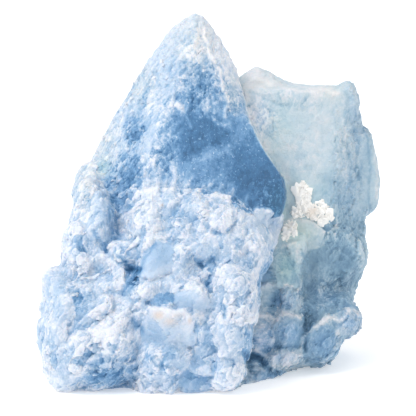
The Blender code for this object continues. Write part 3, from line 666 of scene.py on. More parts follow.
class Sight:
    """How deep the eye meets the surface, kept on a square grid of the view. Gaps and the ground outside the outline
    are filled from their neighbours, falling away from the eye, and the whole is softened, so a form can be seated
    anywhere near the stone. It also keeps how deep the far side is and how far outside the outline each cell is."""

    MARGIN = 16
    FILLING_ROUNDS = 40
    SOFTENING_ROUNDS = 4
    FALL = 0.5

    def __init__(self, view, used):
        seen = view[:, [0, 2]]
        self.low = seen.min(axis=0) - self.MARGIN * SIGHT_GRAIN
        cells = ((seen - self.low) / SIGHT_GRAIN).astype(int)
        shape = cells.max(axis=0) + self.MARGIN + 1
        self.grid, self.outside = self.filled(shape, cells[used], view[used, 1])
        self.mirrored, _ = self.filled(shape, cells[used], -view[used, 1])

    def filled(self, shape, cells, depths):
        """The least depth in each cell, with the gaps filled, and how far outside the outline each cell is."""
        grid = np.full(shape, np.inf)
        np.minimum.at(grid, (cells[:, 0], cells[:, 1]), depths)
        grid = np.where(np.isfinite(grid), grid, np.nan)
        outside = np.zeros(grid.shape)
        for away in range(self.FILLING_ROUNDS):
            outside += np.isnan(grid) * SIGHT_GRAIN
            grid = np.where(np.isnan(grid), self.near(grid) + self.FALL * away, grid)
        for _ in range(self.SOFTENING_ROUNDS):
            grid = self.near(grid)
        return np.where(np.isnan(grid), 0.0, grid), outside

    @staticmethod
    def near(grid):
        """Each cell's average with the eight around it, leaving out the empty ones."""
        full = np.pad(np.where(np.isnan(grid), 0.0, grid), 1)
        there = np.pad((~np.isnan(grid)).astype(float), 1)
        rows, columns = grid.shape
        total = sum(full[i:i + rows, k:k + columns] for i in range(3) for k in range(3))
        count = sum(there[i:i + rows, k:k + columns] for i in range(3) for k in range(3))
        return np.where(count > 0, total / np.maximum(count, 1.0), np.nan)

    def depth(self, x, h):
        """The depth at a place."""
        return self.looked_up(self.grid, x, h)

    def far_side(self, x, h):
        """How deep the stone's far side is at a place."""
        return -self.looked_up(self.mirrored, x, h)

    def beyond(self, x, h):
        """How far outside the outline a place is, in millimetres."""
        return self.looked_up(self.outside, x, h)

    def looked_up(self, grid, x, h):
        """A value at a place, blended between the four cells around it."""
        at = (np.stack([x, h], axis=1) - self.low) / SIGHT_GRAIN - 0.5
        at = np.clip(at, 0.0, np.array(grid.shape) - 2.001)
        i, k = np.floor(at).astype(int).T
        s, t = (at - np.floor(at)).T
        return (grid[i, k] * (1 - s) * (1 - t) + grid[i + 1, k] * s * (1 - t) + grid[i, k + 1] * (1 - s) * t
                + grid[i + 1, k + 1] * s * t)


def inside(x, h, px, ph):
    """How far each place is inside an outline, in millimetres, below 0 outside: the distance to the nearest side, with
    its sign from how often a line to the right crosses the sides."""
    away = np.full(len(x), np.inf)
    crossed = np.zeros(len(x), bool)
    for ax, ah, bx, bh in zip(px, ph, np.roll(px, -1), np.roll(ph, -1)):
        away = np.minimum(away, reach_of(x, h, ax, ah, bx, bh))
        spans = (ah > h) != (bh > h)
        crossed ^= spans & (x < ax + (h - ah) * (bx - ax) / (bh - ah if bh != ah else 1.0))
    return np.where(crossed, away, -away)


def reach_of(x, h, ax, ah, bx, bh):
    """The distance from each place to a straight side."""
    wide, high = bx - ax, bh - ah
    part = np.clip(((x - ax) * wide + (h - ah) * high) / (wide * wide + high * high), 0.0, 1.0)
    return np.hypot(x - ax - part * wide, h - ah - part * high)


def tallest(x, h, forms, salt):
    """For each place of the view: how high the tallest form stands there, its tone, its gloss, and how far the place is
    inside its edge. A form rises from its wandering edge in a short steep side and a long roof, which is round where
    the form is glassy, and leans a little its own way. Its tone is paler where the lean raises it, as painted light."""
    rng = np.random.default_rng(salt)
    at = np.stack([x, np.zeros_like(x), h], axis=1)
    for k, (size, shift, octaves) in enumerate(WANDER):
        x = x + shift * waver(at, size, salt + 5 + k, octaves)
        h = h + shift * waver(at, size, salt + 7 + k, octaves)
    height, tone, gloss, within = np.full(len(x), NOTHING), np.zeros(len(x)), np.zeros(len(x)), np.zeros(len(x))
    for proud, own_tone, own_gloss, outline in forms:
        px, ph = traced(outline)
        ground = own_tone is None
        lean = (0.0, 0.0) if ground else rng.uniform(-LEAN, LEAN, 2)
        near = np.flatnonzero((x > px.min() - 1) & (x < px.max() + 1) & (h > ph.min() - 1) & (h < ph.max() + 1))
        depth = inside(x[near], h[near], px, ph) + SPREAD
        part = np.clip(depth / STEEP_SIDE, 0.0, 1.0)
        roof = np.clip(depth / (rng.uniform(0.2, 0.45) * min(np.ptp(px), np.ptp(ph)) + 0.5), 0.0, 1.0)
        rise = 0.65 * part + 0.35 * (roof if own_gloss < 0.5 else np.sqrt(1.0 - (1.0 - roof) ** 2))
        slope = lean[0] * (x[near] - px.mean()) + lean[1] * (h[near] - ph.mean())
        rise = (0.75 * proud + SUNK) * rise - SUNK + slope * part
        won = (depth > 0.0) & (rise > height[near])
        chosen = near[won]
        height[chosen], within[chosen] = rise[won], 0.0 if ground else depth[won]
        # Painted light: the form's tone grows with the rise of its lean.
        tone[chosen], gloss[chosen] = (own_tone or 0.0) + SLOPE_LIGHT * slope[won], own_gloss
    return height, tone, gloss, within


def solid_of(forms, sight, salt):
    """Closed solids of all the forms: over a fine grid of the view, a front skin at each form's height above what the
    eye meets, a back skin inside the stone, deeper along the edge of the ground but short of the stone's far side, and
    walls between them along the forms' edges. Angular crystals are half sunk into the front skin where it isn't
    glassy."""
    px, ph = traced(np.concatenate([form[3] for form in forms]))
    beside = 1.5
    xs = np.arange(px.min() - beside, px.max() + beside, MM_PER_PIXEL)
    hs = np.arange(ph.min() - beside, ph.max() + beside, MM_PER_PIXEL)
    x, h = (part.ravel() for part in np.meshgrid(xs, hs, indexing="ij"))
    height, _, gloss, _ = tallest(x, h, forms, salt)
    ground = inside(x, h, *traced(forms[0][3]))
    seat = sight.depth(x, h)
    front = np.stack([x, seat - np.maximum(height, -SUNK), h], axis=1)
    deep = np.minimum(seat + BACK_DEPTH + EDGE_DEPTH * step(EDGE_WIDTH, 0.0, ground), sight.far_side(x, h) - FAR_GAP)
    back = np.stack([x, np.maximum(deep, seat + LEAST_DEPTH), h], axis=1)
    index = np.arange(len(x)).reshape(len(xs), len(hs))
    full = ((height > 0.01 - SUNK) & (sight.beyond(x, h) < OVERHANG)).reshape(index.shape)
    cells = full[:-1, :-1] & full[1:, :-1] & full[:-1, 1:] & full[1:, 1:]
    a, b, c, e = index[:-1, :-1], index[1:, :-1], index[1:, 1:], index[:-1, 1:]
    count = len(x)
    squares = np.stack([a[cells], b[cells], c[cells], e[cells]], axis=1)
    quads = [squares, squares[:, ::-1] + count]
    around = np.pad(cells, 1)
    rows, columns = cells.shape
    for first, second, (i, k) in ((a, b, (1, 0)), (b, c, (2, 1)), (c, e, (1, 2)), (e, a, (0, 1))):
        open_side = cells & ~around[i:i + rows, k:k + columns]
        p, q = first[open_side], second[open_side]
        quads.append(np.stack([q, p, p + count, q + count], axis=1))
    points, faces, total = [front, back], [np.concatenate(quads)], 2 * count
    rng = np.random.default_rng(salt + 1)
    spacing, least, most, thick = EMBEDDED
    flat = [(corners * (1.0, thick, 1.0), sides) for corners, sides in shard_shapes(salt)]
    chosen = spread(front, (height > -0.2) * (gloss < 0.4) * (ground > 1.0) * 0.8, spacing, salt + total)
    size = rng.uniform(least, most, len(chosen))
    middles = front[chosen]
    middles[:, 1] += size * thick * rng.uniform(0.2, 0.9, len(chosen))
    for corners, sides, _ in grown(flat, middles, size, rng, 0.5):
        points.append(corners.reshape(-1, 3))
        faces.append(sides + total)
        total += len(points[-1])
    return np.concatenate(points), faces


def spread(view, wanted, spacing, salt):
    """Corners of a surface, at most one in each cell of this spacing, the likelier the more it is wanted there."""
    rng = np.random.default_rng(salt)
    order = rng.permutation(np.flatnonzero(rng.random(len(view)) < wanted))
    cells = np.floor((view[order] + rng.random(3) * spacing) / spacing).astype(np.int64)
    _, first = np.unique(cells, axis=0, return_index=True)
    return order[first]


def shard_shapes(salt):
    """Angular crystals: each is the hull of a few random points on a ball that is squashed its own way."""
    rng = np.random.default_rng(salt)
    shapes = []
    for _ in range(CRUMB_SHAPES):
        ball = rng.normal(size=(rng.integers(8, 12), 3))
        ball = ball / np.linalg.norm(ball, axis=1)[:, None] * rng.uniform(0.6, 1.0, 3)
        hull = bmesh.new()
        for corner in ball:
            hull.verts.new(corner)
        bmesh.ops.convex_hull(hull, input=hull.verts)
        hull.normal_update()
        hull.verts.index_update()
        shapes.append((np.array([corner.co for corner in hull.verts]),
                       np.array([[corner.index for corner in side.verts] for side in hull.faces])))
        hull.free()
    return shapes


def grown(shapes, middles, sizes, rng, tilt=None):
    """Crystals at these middles, of these sizes, each turned its own way, or only spun about the line of sight and
    tilted up to tilt radians. For each shape in turn: its crystals' corners, their sides and which crystals they
    are."""
    kind = rng.integers(0, len(shapes), len(middles))
    turned = turns(rng.normal(size=(len(middles), 4)))
    if tilt is not None:
        spin, lean, way = rng.random((3, len(middles))) * [[2.0 * math.pi], [tilt], [2.0 * math.pi]]
        still = np.zeros(len(middles))
        spun = turns(np.stack([np.cos(spin / 2), still, np.sin(spin / 2), still], axis=1))
        tilted = turns(np.stack([np.cos(lean / 2), np.sin(lean / 2) * np.cos(way), still,
                                 np.sin(lean / 2) * np.sin(way)], axis=1))
        turned = tilted @ spun
    for k, (corners, sides) in enumerate(shapes):
        mine = np.flatnonzero(kind == k)
        placed = np.einsum("vj,nij->nvi", corners, turned[mine]) * sizes[mine][:, None, None]
        firsts = (np.arange(len(mine)) * len(corners))[:, None, None]
        yield placed + middles[mine][:, None, :], (sides[None] + firsts).reshape(-1, 3), mine


def turns(quaternions):
    """Turns as matrices, from quaternions of any length."""
    w, x, y, z = (quaternions / np.linalg.norm(quaternions, axis=1)[:, None]).T
    return np.stack([1 - 2 * (y * y + z * z), 2 * (x * y - w * z), 2 * (x * z + w * y),
                     2 * (x * y + w * z), 1 - 2 * (x * x + z * z), 2 * (y * z - w * x),
                     2 * (x * z - w * y), 2 * (y * z + w * x), 1 - 2 * (x * x + y * y)], axis=1).reshape(-1, 3, 3)


def shards(name, sources, salt):
    """A piece of loose crystals: each is one of the shapes, sized and turned its own way, and sunk by up to half its
    size into the surface. The crystal takes its fields from the corner that it grows on, and is paler where that is
    dark."""
    rng = np.random.default_rng(salt)
    shapes = shard_shapes(salt)
    points, faces, fields, total = [], [], {}, 0
    for mesh, chosen, least, most in sources:
        view, normals = read(mesh)
        size = rng.uniform(least, most, len(chosen)) * rng.uniform(0.7, 1.0, len(chosen))
        middle = view[chosen] - normals[chosen] * (size * rng.uniform(0.1, 0.5, len(chosen)))[:, None]
        own = {field: recalled(mesh, field)[chosen] for field in FIELDS}
        own["tone"] = (own["tone"] + 0.04 + 0.5 * np.clip(0.7 - own["tone"], 0.0, 0.5)
                       + rng.normal(0.0, 0.10, len(chosen)))
        # The crystal keeps half the broad painted shade of the corner it grows on.
        own["wide"] = own["wide"] * 0.5
        for corners, sides, mine in grown(shapes, middle, size, rng):
            out = ((corners - middle[mine][:, None, :]) * normals[chosen[mine]][:, None, :]).sum(axis=2)
            points.append(corners.reshape(-1, 3))
            faces.append(sides + total)
            for field, values in own.items():
                fields.setdefault(field, []).append(np.repeat(values[mine], corners.shape[1]))
            # Painted light and shade: each crystal is paler on its side away from the surface it grows on and darker on
            # its sunk side.
            fields["crest"][-1] = (out * 0.12).ravel()
            total += len(points[-1])
    mesh = mesh_of(name, np.concatenate(points), faces)
    view, _ = read(mesh)
    write(mesh, view)
    remember(mesh, **{field: np.concatenate(values) for field, values in fields.items()})
    mesh.shade_flat()
    return new_object(name, mesh)


# Marks and colours that are placed by the tables

def stroked(view):
    """The change of tone and the rise that the strokes give: each fades with the square of the distance to its line,
    and the lines wander a little."""
    x, _, h = view.T
    x, h = x + waver(view, 1.4, 91), h + waver(view, 1.4, 95)
    tone, rise = np.zeros(len(x)), np.zeros(len(x))
    for wide, change, lift, course in STROKES:
        px, ph = traced(course)
        reach = 4 * wide
        near = np.flatnonzero((x > px.min() - reach) & (x < px.max() + reach)
                              & (h > ph.min() - reach) & (h < ph.max() + reach))
        away = np.full(len(near), np.inf)
        for ax, ah, bx, bh in zip(px[:-1], ph[:-1], px[1:], ph[1:]):
            away = np.minimum(away, reach_of(x[near], h[near], ax, ah, bx, bh))
        share = np.exp(-(away / wide) ** 2)
        tone[near] += change * share
        rise[near] += lift * share
    return tone, rise


def distances(view, patches):
    """For each patch: the squared distance of each place from its middle, as a share of its half sides, and its
    value."""
    x, _, h = view.T
    for u, v, wide, high, value in patches:
        yield ((x - across(u)) / (wide * MM_PER_PIXEL)) ** 2 + ((h - up(v)) / (high * MM_PER_PIXEL)) ** 2, value


def painted(view, patches):
    """The value at each place: the patches' values weighed by how near they are in the view."""
    total, weight = np.zeros(len(view)), np.zeros(len(view))
    for away, value in distances(view, patches):
        share = np.exp(-away) + 1e-3 / (1.0 + away) ** 2
        total += share * value
        weight += share
    return total / weight


def tinted(view, patches):
    """How strong a colour is at each place: the strongest of its patches, each fading outwards."""
    best = np.zeros(len(view))
    for away, value in distances(view, patches):
        best = np.maximum(best, value * np.exp(-away))
    return best


# Zones of the stone

def rear_share(view):
    """1 on the block behind the front crystal, by which side of the front crystal's outline a place is on."""
    x, _, h = view.T
    return step(-0.15, 0.25, x - front_edge(h))


def crumbly_share(view):
    """1 where the surface is crust, 0 where it is a smooth face."""
    x, _, h = view.T
    wander = 2.4 * waver(view, 3.0, 5)
    front = 1.0 - rear_share(view)
    crust = step(-0.6, 0.8, up(CRUST_TOP_V) - 0.10 * (x - across(CRUST_TOP_U)) + wander - h) * front
    flank = (step(-1.0, 1.0, across(FLANK_U) - 0.18 * (h - up(CRUST_TOP_V)) + wander - x)
             * step(-2.0, 2.0, up(FLANK_TOP_V) + wander - h))
    low = step(-1.0, 1.0, up(LOW_V) + wander - h)
    brow = band(BROW_TOP, h) * band(BROW_FOOT, h) * front
    slab = step(-1.0, 1.0, x - across(SLAB_U) + wander) * step(-1.0, 1.0, up(SLAB_V) + wander - h)
    return np.clip(np.maximum.reduce([crust, flank * 0.7, low * 0.6, brow * 0.35, slab * 0.4]), 0.0, 1.0)


def window_share(view):
    """1 on the clear dark face of the front crystal."""
    x, _, h = view.T
    left = step(-0.8, 1.6, x - across(WINDOW_U) + 0.10 * (h - up(WINDOW_MIDDLE_V)))
    return (left * (1.0 - rear_share(view)) * step(-0.5, 1.2, h - up(WINDOW_FOOT_V))
            * step(-2.0, 2.5, up(WINDOW_TOP_V) - h))


def crumb_share(view, normals):
    """How thickly loose crystals grow: over the crust, the flank and the foot of the block behind, in clumps, on the
    side that faces the eye."""
    x, d, h = view.T
    rear = rear_share(view)
    front = crumbly_share(view) * (1.0 - rear)
    foot = 1.0 - 0.5 * step(across(FOOT_U[0]), across(FOOT_U[1]), x) * band(FOOT_V, h)
    fringe = 0.9 * rear * band(FRINGE_V, h)
    clumps = step(0.42, 0.62, cloud(view, 2.4, 97, 3))
    return np.clip((front * foot + fringe) * clumps, 0.0, 1.0) * step(-0.2, -0.5, normals[:, 1]) * step(12.0, 4.0, d)


# The pieces

def stone_body():
    """The whole stone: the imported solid's surface, refined, with crystal facets raised where it is crumbly. Returns it
    and where its corners were before the relief."""
    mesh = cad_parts[NODE].data.copy()
    mesh.name = "stone_body"
    obj = new_object("stone_body", mesh)
    weld = obj.modifiers.new("weld", "WELD")
    weld.merge_threshold = 1e-6
    settled(obj)
    mesh = fuse(obj, SKIN_GRAIN)
    view, normals = read(mesh)

    # The front crystal's right side is drawn in to its outline.
    x, d, h = view.T
    edge = front_edge(h)
    before = (d < -0.5) & (x > edge) & (x < edge + 3.0)
    view[:, 0] = np.where(before, edge + 0.15 * (x - edge), x)
    write(mesh, view)

    # The voxels' steps are averaged away, but for the sharp horns of the block behind.
    horns = band(HORNS_V, view[:, 2]) * step(0.0, 0.5, view[:, 0] - front_edge(view[:, 2]))
    view += (averaged(mesh, view, 3) - view) * (1.0 - horns)[:, None]
    skin = view.copy()

    # Coarse relief on the crumbly parts and along the right edge, fine relief and broad facets on the smooth ones.
    block = rear_share(view)
    rough = crumbly_share(view)
    coarse, shift = crystals(view, RUBBLE, 11, 0.35)
    bark, _ = crystals(view, BARK, 11, 0.2)
    facing, _, _ = facets(view + 20.0, 5.0, 41)
    tip = band(TIP_V, view[:, 2]) * (1.0 - block)
    rim = step(-0.15, -0.55, normals[:, 0]) * band(RIM_V, view[:, 2]) * (1.0 - block)
    ragged = step(0.15, 0.55, normals[:, 0]) * block
    smooth = (0.35 * waver(view, 3.0, 51) * (1.0 - block)
              + (0.6 + 2.6 * tip + 0.6 * block) * bark * (1.0 - 0.6 * window_share(view))
              + 0.7 * (facing - 0.6) * block)
    relief = rough * coarse + (1.0 - rough) * smooth + 1.8 * rim * bark + 0.9 * ragged * coarse
    _, rise = stroked(view)
    height, _, _, _ = tallest(view[:, 0], view[:, 2], BLOCKS, BODY_SALT)
    rise += np.maximum(height, 0.0) * block
    ahead = toward_eye(normals) * step(9.0, 5.0, view[:, 1])
    view = view + normals * relief[:, None]
    view[:, 1] -= rise * ahead
    write(mesh, view)

    remember_shift(mesh, shift)
    keep = np.clip(0.35 + 0.65 * step(-0.3, 0.4, -normals[:, 1]) - 0.25 * (1.0 - rough), 0.0, 1.0)
    dress(thin(obj, BODY_TRIANGLES, keep), BLOCKS, BODY_SALT)
    return obj, skin


def plated(name, forms, sight, salt):
    """A piece of overlapping forms seated on the stone and fused. The sides that face away from the eye are averaged,
    and crystal relief breaks up what isn't glassy."""
    points, faces = solid_of(forms, sight, salt)
    obj = new_object(name, mesh_of(name, points, faces))
    mesh = fuse(obj, PLATE_GRAIN)
    view, normals = read(mesh)
    _, _, gloss, _ = tallest(view[:, 0], view[:, 2], forms, salt)
    side = step(0.6, 0.3, -normals[:, 1])
    view += (averaged(mesh, view, 3) - view) * (0.85 + 0.15 * gloss)[:, None]
    view += (averaged(mesh, view, 10) - view) * side[:, None]
    broken, shift = crystals(view, PLATES, salt + 61, 0.8)
    swell = 0.25 * waver(view, 3.4, salt + 71) + 0.9 * side * waver(view, 1.3, salt + 81, 3)
    _, rise = stroked(view)
    view = view + normals * (broken * (1.0 - 0.75 * gloss) + swell)[:, None]
    view[:, 1] -= rise * toward_eye(normals)
    write(mesh, view)
    _, normals = read(mesh)
    remember_shift(mesh, shift)
    mesh = thin(obj, CRUST_TRIANGLES, 0.4 + 0.4 * step(-0.2, 0.5, 0.2 - normals[:, 1]))
    dress(mesh, forms, salt)
    mesh.set_sharp_from_angle(angle=CRUST_SHARP)
    return obj


def dress(mesh, forms, salt):
    """Stores the fields that the finish reads. Tones and zones are looked up a little aside of each crystal block, each
    its own way, so that they meet along crystal edges. Each form lays its own tone over the tables' tone, with painted
    light along its upper edge and, in the crust, painted shade deeper inside it."""
    view, normals = read(mesh)
    write(mesh, view)
    # How far each corner stands out of the surface, close by and broadly: from these the finish paints light where
    # corners stand out and shade in hollows.
    crest, wide = (proudness(mesh, view, normals, rounds) for rounds in (5, 30))
    shift_x, shift_h, shade = (recalled(mesh, name) for name in ("shift_x", "shift_h", "shade"))
    aside = np.stack([shift_x, np.zeros(len(view)), shift_h], axis=1) * SHIFT
    for name in ("shift_x", "shift_h", "shade"):
        mesh.attributes.remove(mesh.attributes[name])
    rear = rear_share(view)
    at = view + aside * (1.0 - 0.6 * rear)[:, None]
    rough = crumbly_share(at)
    clear = window_share(at) * step(0.0, 0.3, -normals[:, 1])
    left_side = step(-0.2, -0.6, normals[:, 0]) * (1.0 - rear)
    busy = tinted(at, BUSY) * (1.0 - 0.6 * left_side)

    # The picture's tones in front, and made-up ones of the same range on the far side.
    behind = step(5.0, 13.0, view[:, 1] + 3.0 * waver(view, 4.0, 71))
    far_tone = 0.62 + 0.9 * waver(view, 5.0, 73)
    tone = mixed(painted(at, FRONT_TONES), painted(at, REAR_TONES), rear)
    tone = mixed(tone, far_tone, behind)

    near = view + aside * 0.15 * (1.0 - rear)[:, None]
    height, own_tone, own_gloss, within = tallest(near[:, 0], near[:, 2], forms, salt)
    # Painted light along each form's upper edge, where the place a little above lies outside the form.
    _, _, _, above = tallest(near[:, 0], near[:, 2] + 0.35, forms, salt)
    painted_top_light = step(0.45, 0.0, above)
    own = (height > NOTHING) & (behind < 0.5)
    if forms is BLOCKS:
        own &= (rear > 0.5) & (normals[:, 1] < 0.0)
        tone = mixed(tone, own_tone + 0.22 * painted_top_light, 0.8 * step(0.0, 0.4, within) * own)
        gloss = np.where(own, own_gloss, 0.5 * (1.0 - rough))
    else:
        # In the crust, painted light along the upper edge and painted shade deeper inside each form.
        rim = 0.16 * painted_top_light - 0.10 * step(0.8, 2.6, within) - 0.04
        tone = mixed(tone, own_tone + rim, 0.85 * step(0.0, 0.45, within) * own)
        gloss = np.where(own, own_gloss, 0.0)
        rough, clear, rear = 1.0 - gloss, clear * 0.0, rear * (forms is FROSTED)
        busy = 0.3 * rough
    # The strokes' change includes painted shade in clefts, pits and gaps.
    change, _ = stroked(view)
    # The blocks' shade numbers add each block's own tone and painted light at each flake's raised end.
    tone = tone + shade * (0.10 * rough + 0.40 * busy + 0.05) * (1.0 - 0.5 * rear) + change
    bluer = tinted(view, BLUER) * (0.88 if forms is FROSTED else 1.0)
    remember(mesh, tone=tone, rear=rear * (1.0 - bluer), rough=rough, crest=crest, wide=wide, clear=clear, gloss=gloss,
             busy=busy, green=tinted(view, GREENS) * (forms is BLOCKS), grey=tinted(view, GREYS),
             stain=tinted(view, STAINS))
    mesh.shade_smooth()
    mesh.set_sharp_from_angle(angle=SHARP)


def loose_crystals(body, frosted):
    """Small angular crystals on the crumbly parts of the body and on the frosty edges of the frosted blocks."""
    view, normals = read(body.data)
    wanted = crumb_share(view, normals)
    sources = [(body.data, spread(view, wanted, spacing, CRUMB_SALT + k), least, most)
               for k, (spacing, least, most) in enumerate(CRUMBS)]
    view, normals = read(frosted.data)
    wanted = step(0.56, 0.72, recalled(frosted.data, "tone")) * step(0.1, -0.3, normals[:, 1])
    sources += [(frosted.data, spread(view, wanted, spacing, FROST_CRUMB_SALT + k), least, most)
                for k, (spacing, least, most) in enumerate(FROST_CRUMBS)]
    return shards("loose_crystals", sources, LOOSE_SALT)


def cream_crumbs(body):
    """The crumbly cream patch: crystals of three sizes inside its outlines, whose edges wander."""
    view, normals = read(body.data)
    within = np.max([inside(view[:, 0], view[:, 2], *traced(outline)) for outline in CREAM], axis=0)
    wanted = (within + 1.2 * waver(view, 1.6, 77, 3) > 0.0) & (normals[:, 1] < -0.2)
    return shards("cream_crumbs", [(body.data, spread(view, wanted * 1.0, spacing, CREAM_CRUMB_SALT), least, most)
                                   for spacing, least, most in CREAM_CRUMBS], CREAM_SALT)


# Finishes

class Wire:
    """One output in a material's nodes. Arithmetic on wires adds Math nodes."""

    def __init__(self, finish, socket):
        self.finish = finish
        self.socket = socket

    def math(self, operation, first, second):
        return self.finish.node("ShaderNodeMath", {"operation": operation}, {0: first, 1: second})

    def __add__(self, other):
        return self.math("ADD", self, other)

    def __radd__(self, other):
        return self.math("ADD", other, self)

    def __sub__(self, other):
        return self.math("SUBTRACT", self, other)

    def __rsub__(self, other):
        return self.math("SUBTRACT", other, self)

    def __mul__(self, other):
        return self.math("MULTIPLY", self, other)

    def __rmul__(self, other):
        return self.math("MULTIPLY", other, self)

    def clipped(self):
        """Kept from 0 to 1."""
        return self.math("MINIMUM", self.math("MAXIMUM", self, 0.0), 1.0)

    def rise(self, low, high):
        """An eased rise from 0 at low to 1 at high."""
        return self.finish.node("ShaderNodeMapRange", {"interpolation_type": "SMOOTHSTEP"},
                                {"Value": self, "From Min": low, "From Max": high})


class Finish:
    """A material whose nodes are added by one method."""

    def __init__(self, name):
        self.material = bpy.data.materials.new(name)
        self.material.use_nodes = True
        self.tree = self.material.node_tree
        self.tree.nodes.clear()

    def node(self, kind, settings=None, sockets=None, out=0):
        """Adds a node: its settings first, then its sockets' values or wires. Returns one of its outputs."""
        made = self.tree.nodes.new(kind)
        for name, value in (settings or {}).items():
            if name == "stops":
                self.stops(made.color_ramp, value)
            else:
                setattr(made, name, value)
        for name, value in (sockets or {}).items():
            if isinstance(value, Wire):
                self.tree.links.new(value.socket, made.inputs[name])
            else:
                made.inputs[name].default_value = value
        return Wire(self, made.outputs[out]) if made.outputs else made

    @staticmethod
    def stops(ramp, stops):
        """Sets a ramp's stops, given as the tone and its colour."""
        while len(ramp.elements) < len(stops):
            ramp.elements.new(1.0)
        for element, (at, colour) in zip(ramp.elements, stops):
            element.position = at / TONE_TOP
            element.color = (*colour, 1.0)

    def field(self, name):
        """A number field that is stored on the mesh."""
        return self.node("ShaderNodeAttribute", {"attribute_name": name}, out=2)

    def placed(self, size, stretch=(1.0, 1.0, 1.0), turn=0.0, warp=0.0):
        """Places in lumps of this many millimetres, longer by stretch along each axis after a turn about the line of
        sight, and warped by up to about this many lumps."""
        place = self.node("ShaderNodeTexCoord", out=3)
        if warp:
            waves = self.node("ShaderNodeTexNoise", None,
                              {"Vector": place, "Scale": 0.5 / (size * MM), "Detail": 3.0}, 1)
            place = self.node("ShaderNodeVectorMath", {"operation": "MULTIPLY_ADD"},
                              {0: waves, 1: (2.0 * warp * size * MM,) * 3, 2: place})
        return self.node("ShaderNodeMapping", {"vector_type": "TEXTURE"},
                         {"Vector": place, "Rotation": (0.0, turn, 0.0),
                          "Scale": tuple(size * MM * part for part in stretch)})

    def noise(self, size, detail=3.0, rough=0.6, distort=0.0, stretch=(1.0, 1.0, 1.0), turn=0.0):
        """Noise from 0 to 1 whose lumps are about this many millimetres."""
        return self.node("ShaderNodeTexNoise", {"normalize": True},
                         {"Vector": self.placed(size, stretch, turn), "Scale": 1.0, "Detail": detail,
                          "Roughness": rough, "Distortion": distort})

    def splinters(self, size, stretch=(1.0, 1.0, 1.0), turn=0.0, warp=0.3):
        """Warped cells of this many millimetres: each cell's own number with painted light added, from about -1 at its
        lower right to 1 at its upper left, and how far a place is from the nearest cell's edge."""
        place = self.placed(size, stretch, turn, warp)
        cell = self.node("ShaderNodeTexVoronoi", {"feature": "F1"}, {"Vector": place, "Scale": 1.0}, 1)
        middle = Wire(self, cell.socket.node.outputs[2])
        edge = self.node("ShaderNodeTexVoronoi", {"feature": "DISTANCE_TO_EDGE"}, {"Vector": place, "Scale": 1.0})
        away = self.node("ShaderNodeVectorMath", {"operation": "SUBTRACT"}, {0: place, 1: middle})
        slope = self.node("ShaderNodeVectorMath", {"operation": "DOT_PRODUCT"}, {0: away, 1: tuple(OVERLAP)}, 1)
        return self.node("ShaderNodeSeparateColor", None, {0: cell}) - 0.5 + slope * 0.8, edge

    def mix(self, share, first, second):
        """The first colour, changed to the second by this share."""
        return self.node("ShaderNodeMix", {"data_type": "RGBA"}, {0: share, 6: first, 7: second}, out=2)


# The stone's colours by tone, from its depths to white frost, in front and in the block behind. TONE_TOP is the tone at
# the ramps' end.
BLUES = (
    (0.00, (0.028, 0.112, 0.240)),
    (0.20, (0.056, 0.180, 0.360)),
    (0.45, (0.155, 0.318, 0.530)),
    (0.70, (0.345, 0.485, 0.655)),
    (0.88, (0.505, 0.600, 0.725)),
    (1.00, (0.625, 0.680, 0.775)),
    (1.20, (0.740, 0.770, 0.835)),
)
MILKS = (
    (0.00, (0.078, 0.170, 0.265)),
    (0.25, (0.142, 0.265, 0.385)),
    (0.50, (0.242, 0.380, 0.495)),
    (0.75, (0.405, 0.525, 0.605)),
    (0.90, (0.520, 0.595, 0.650)),
    (1.00, (0.600, 0.630, 0.675)),
    (1.20, (0.720, 0.735, 0.765)),
)
TONE_TOP = 1.25
GREEN_TINT = (0.92, 1.04, 0.94, 1.0)
GREY_TINT = (1.03, 0.99, 0.92, 1.0)
TAN = (0.70, 0.52, 0.38, 1.0)
WHITE = (1.0, 1.0, 1.0, 1.0)
# The cream at the ends of its painted shade and painted light; random grain also moves between them.
CREAM_SHADED, CREAM_LIT = (0.82, 0.81, 0.78, 1.0), (0.94, 0.92, 0.89, 1.0)
FLOOR_GREY = (0.85, 0.85, 0.85, 1.0)


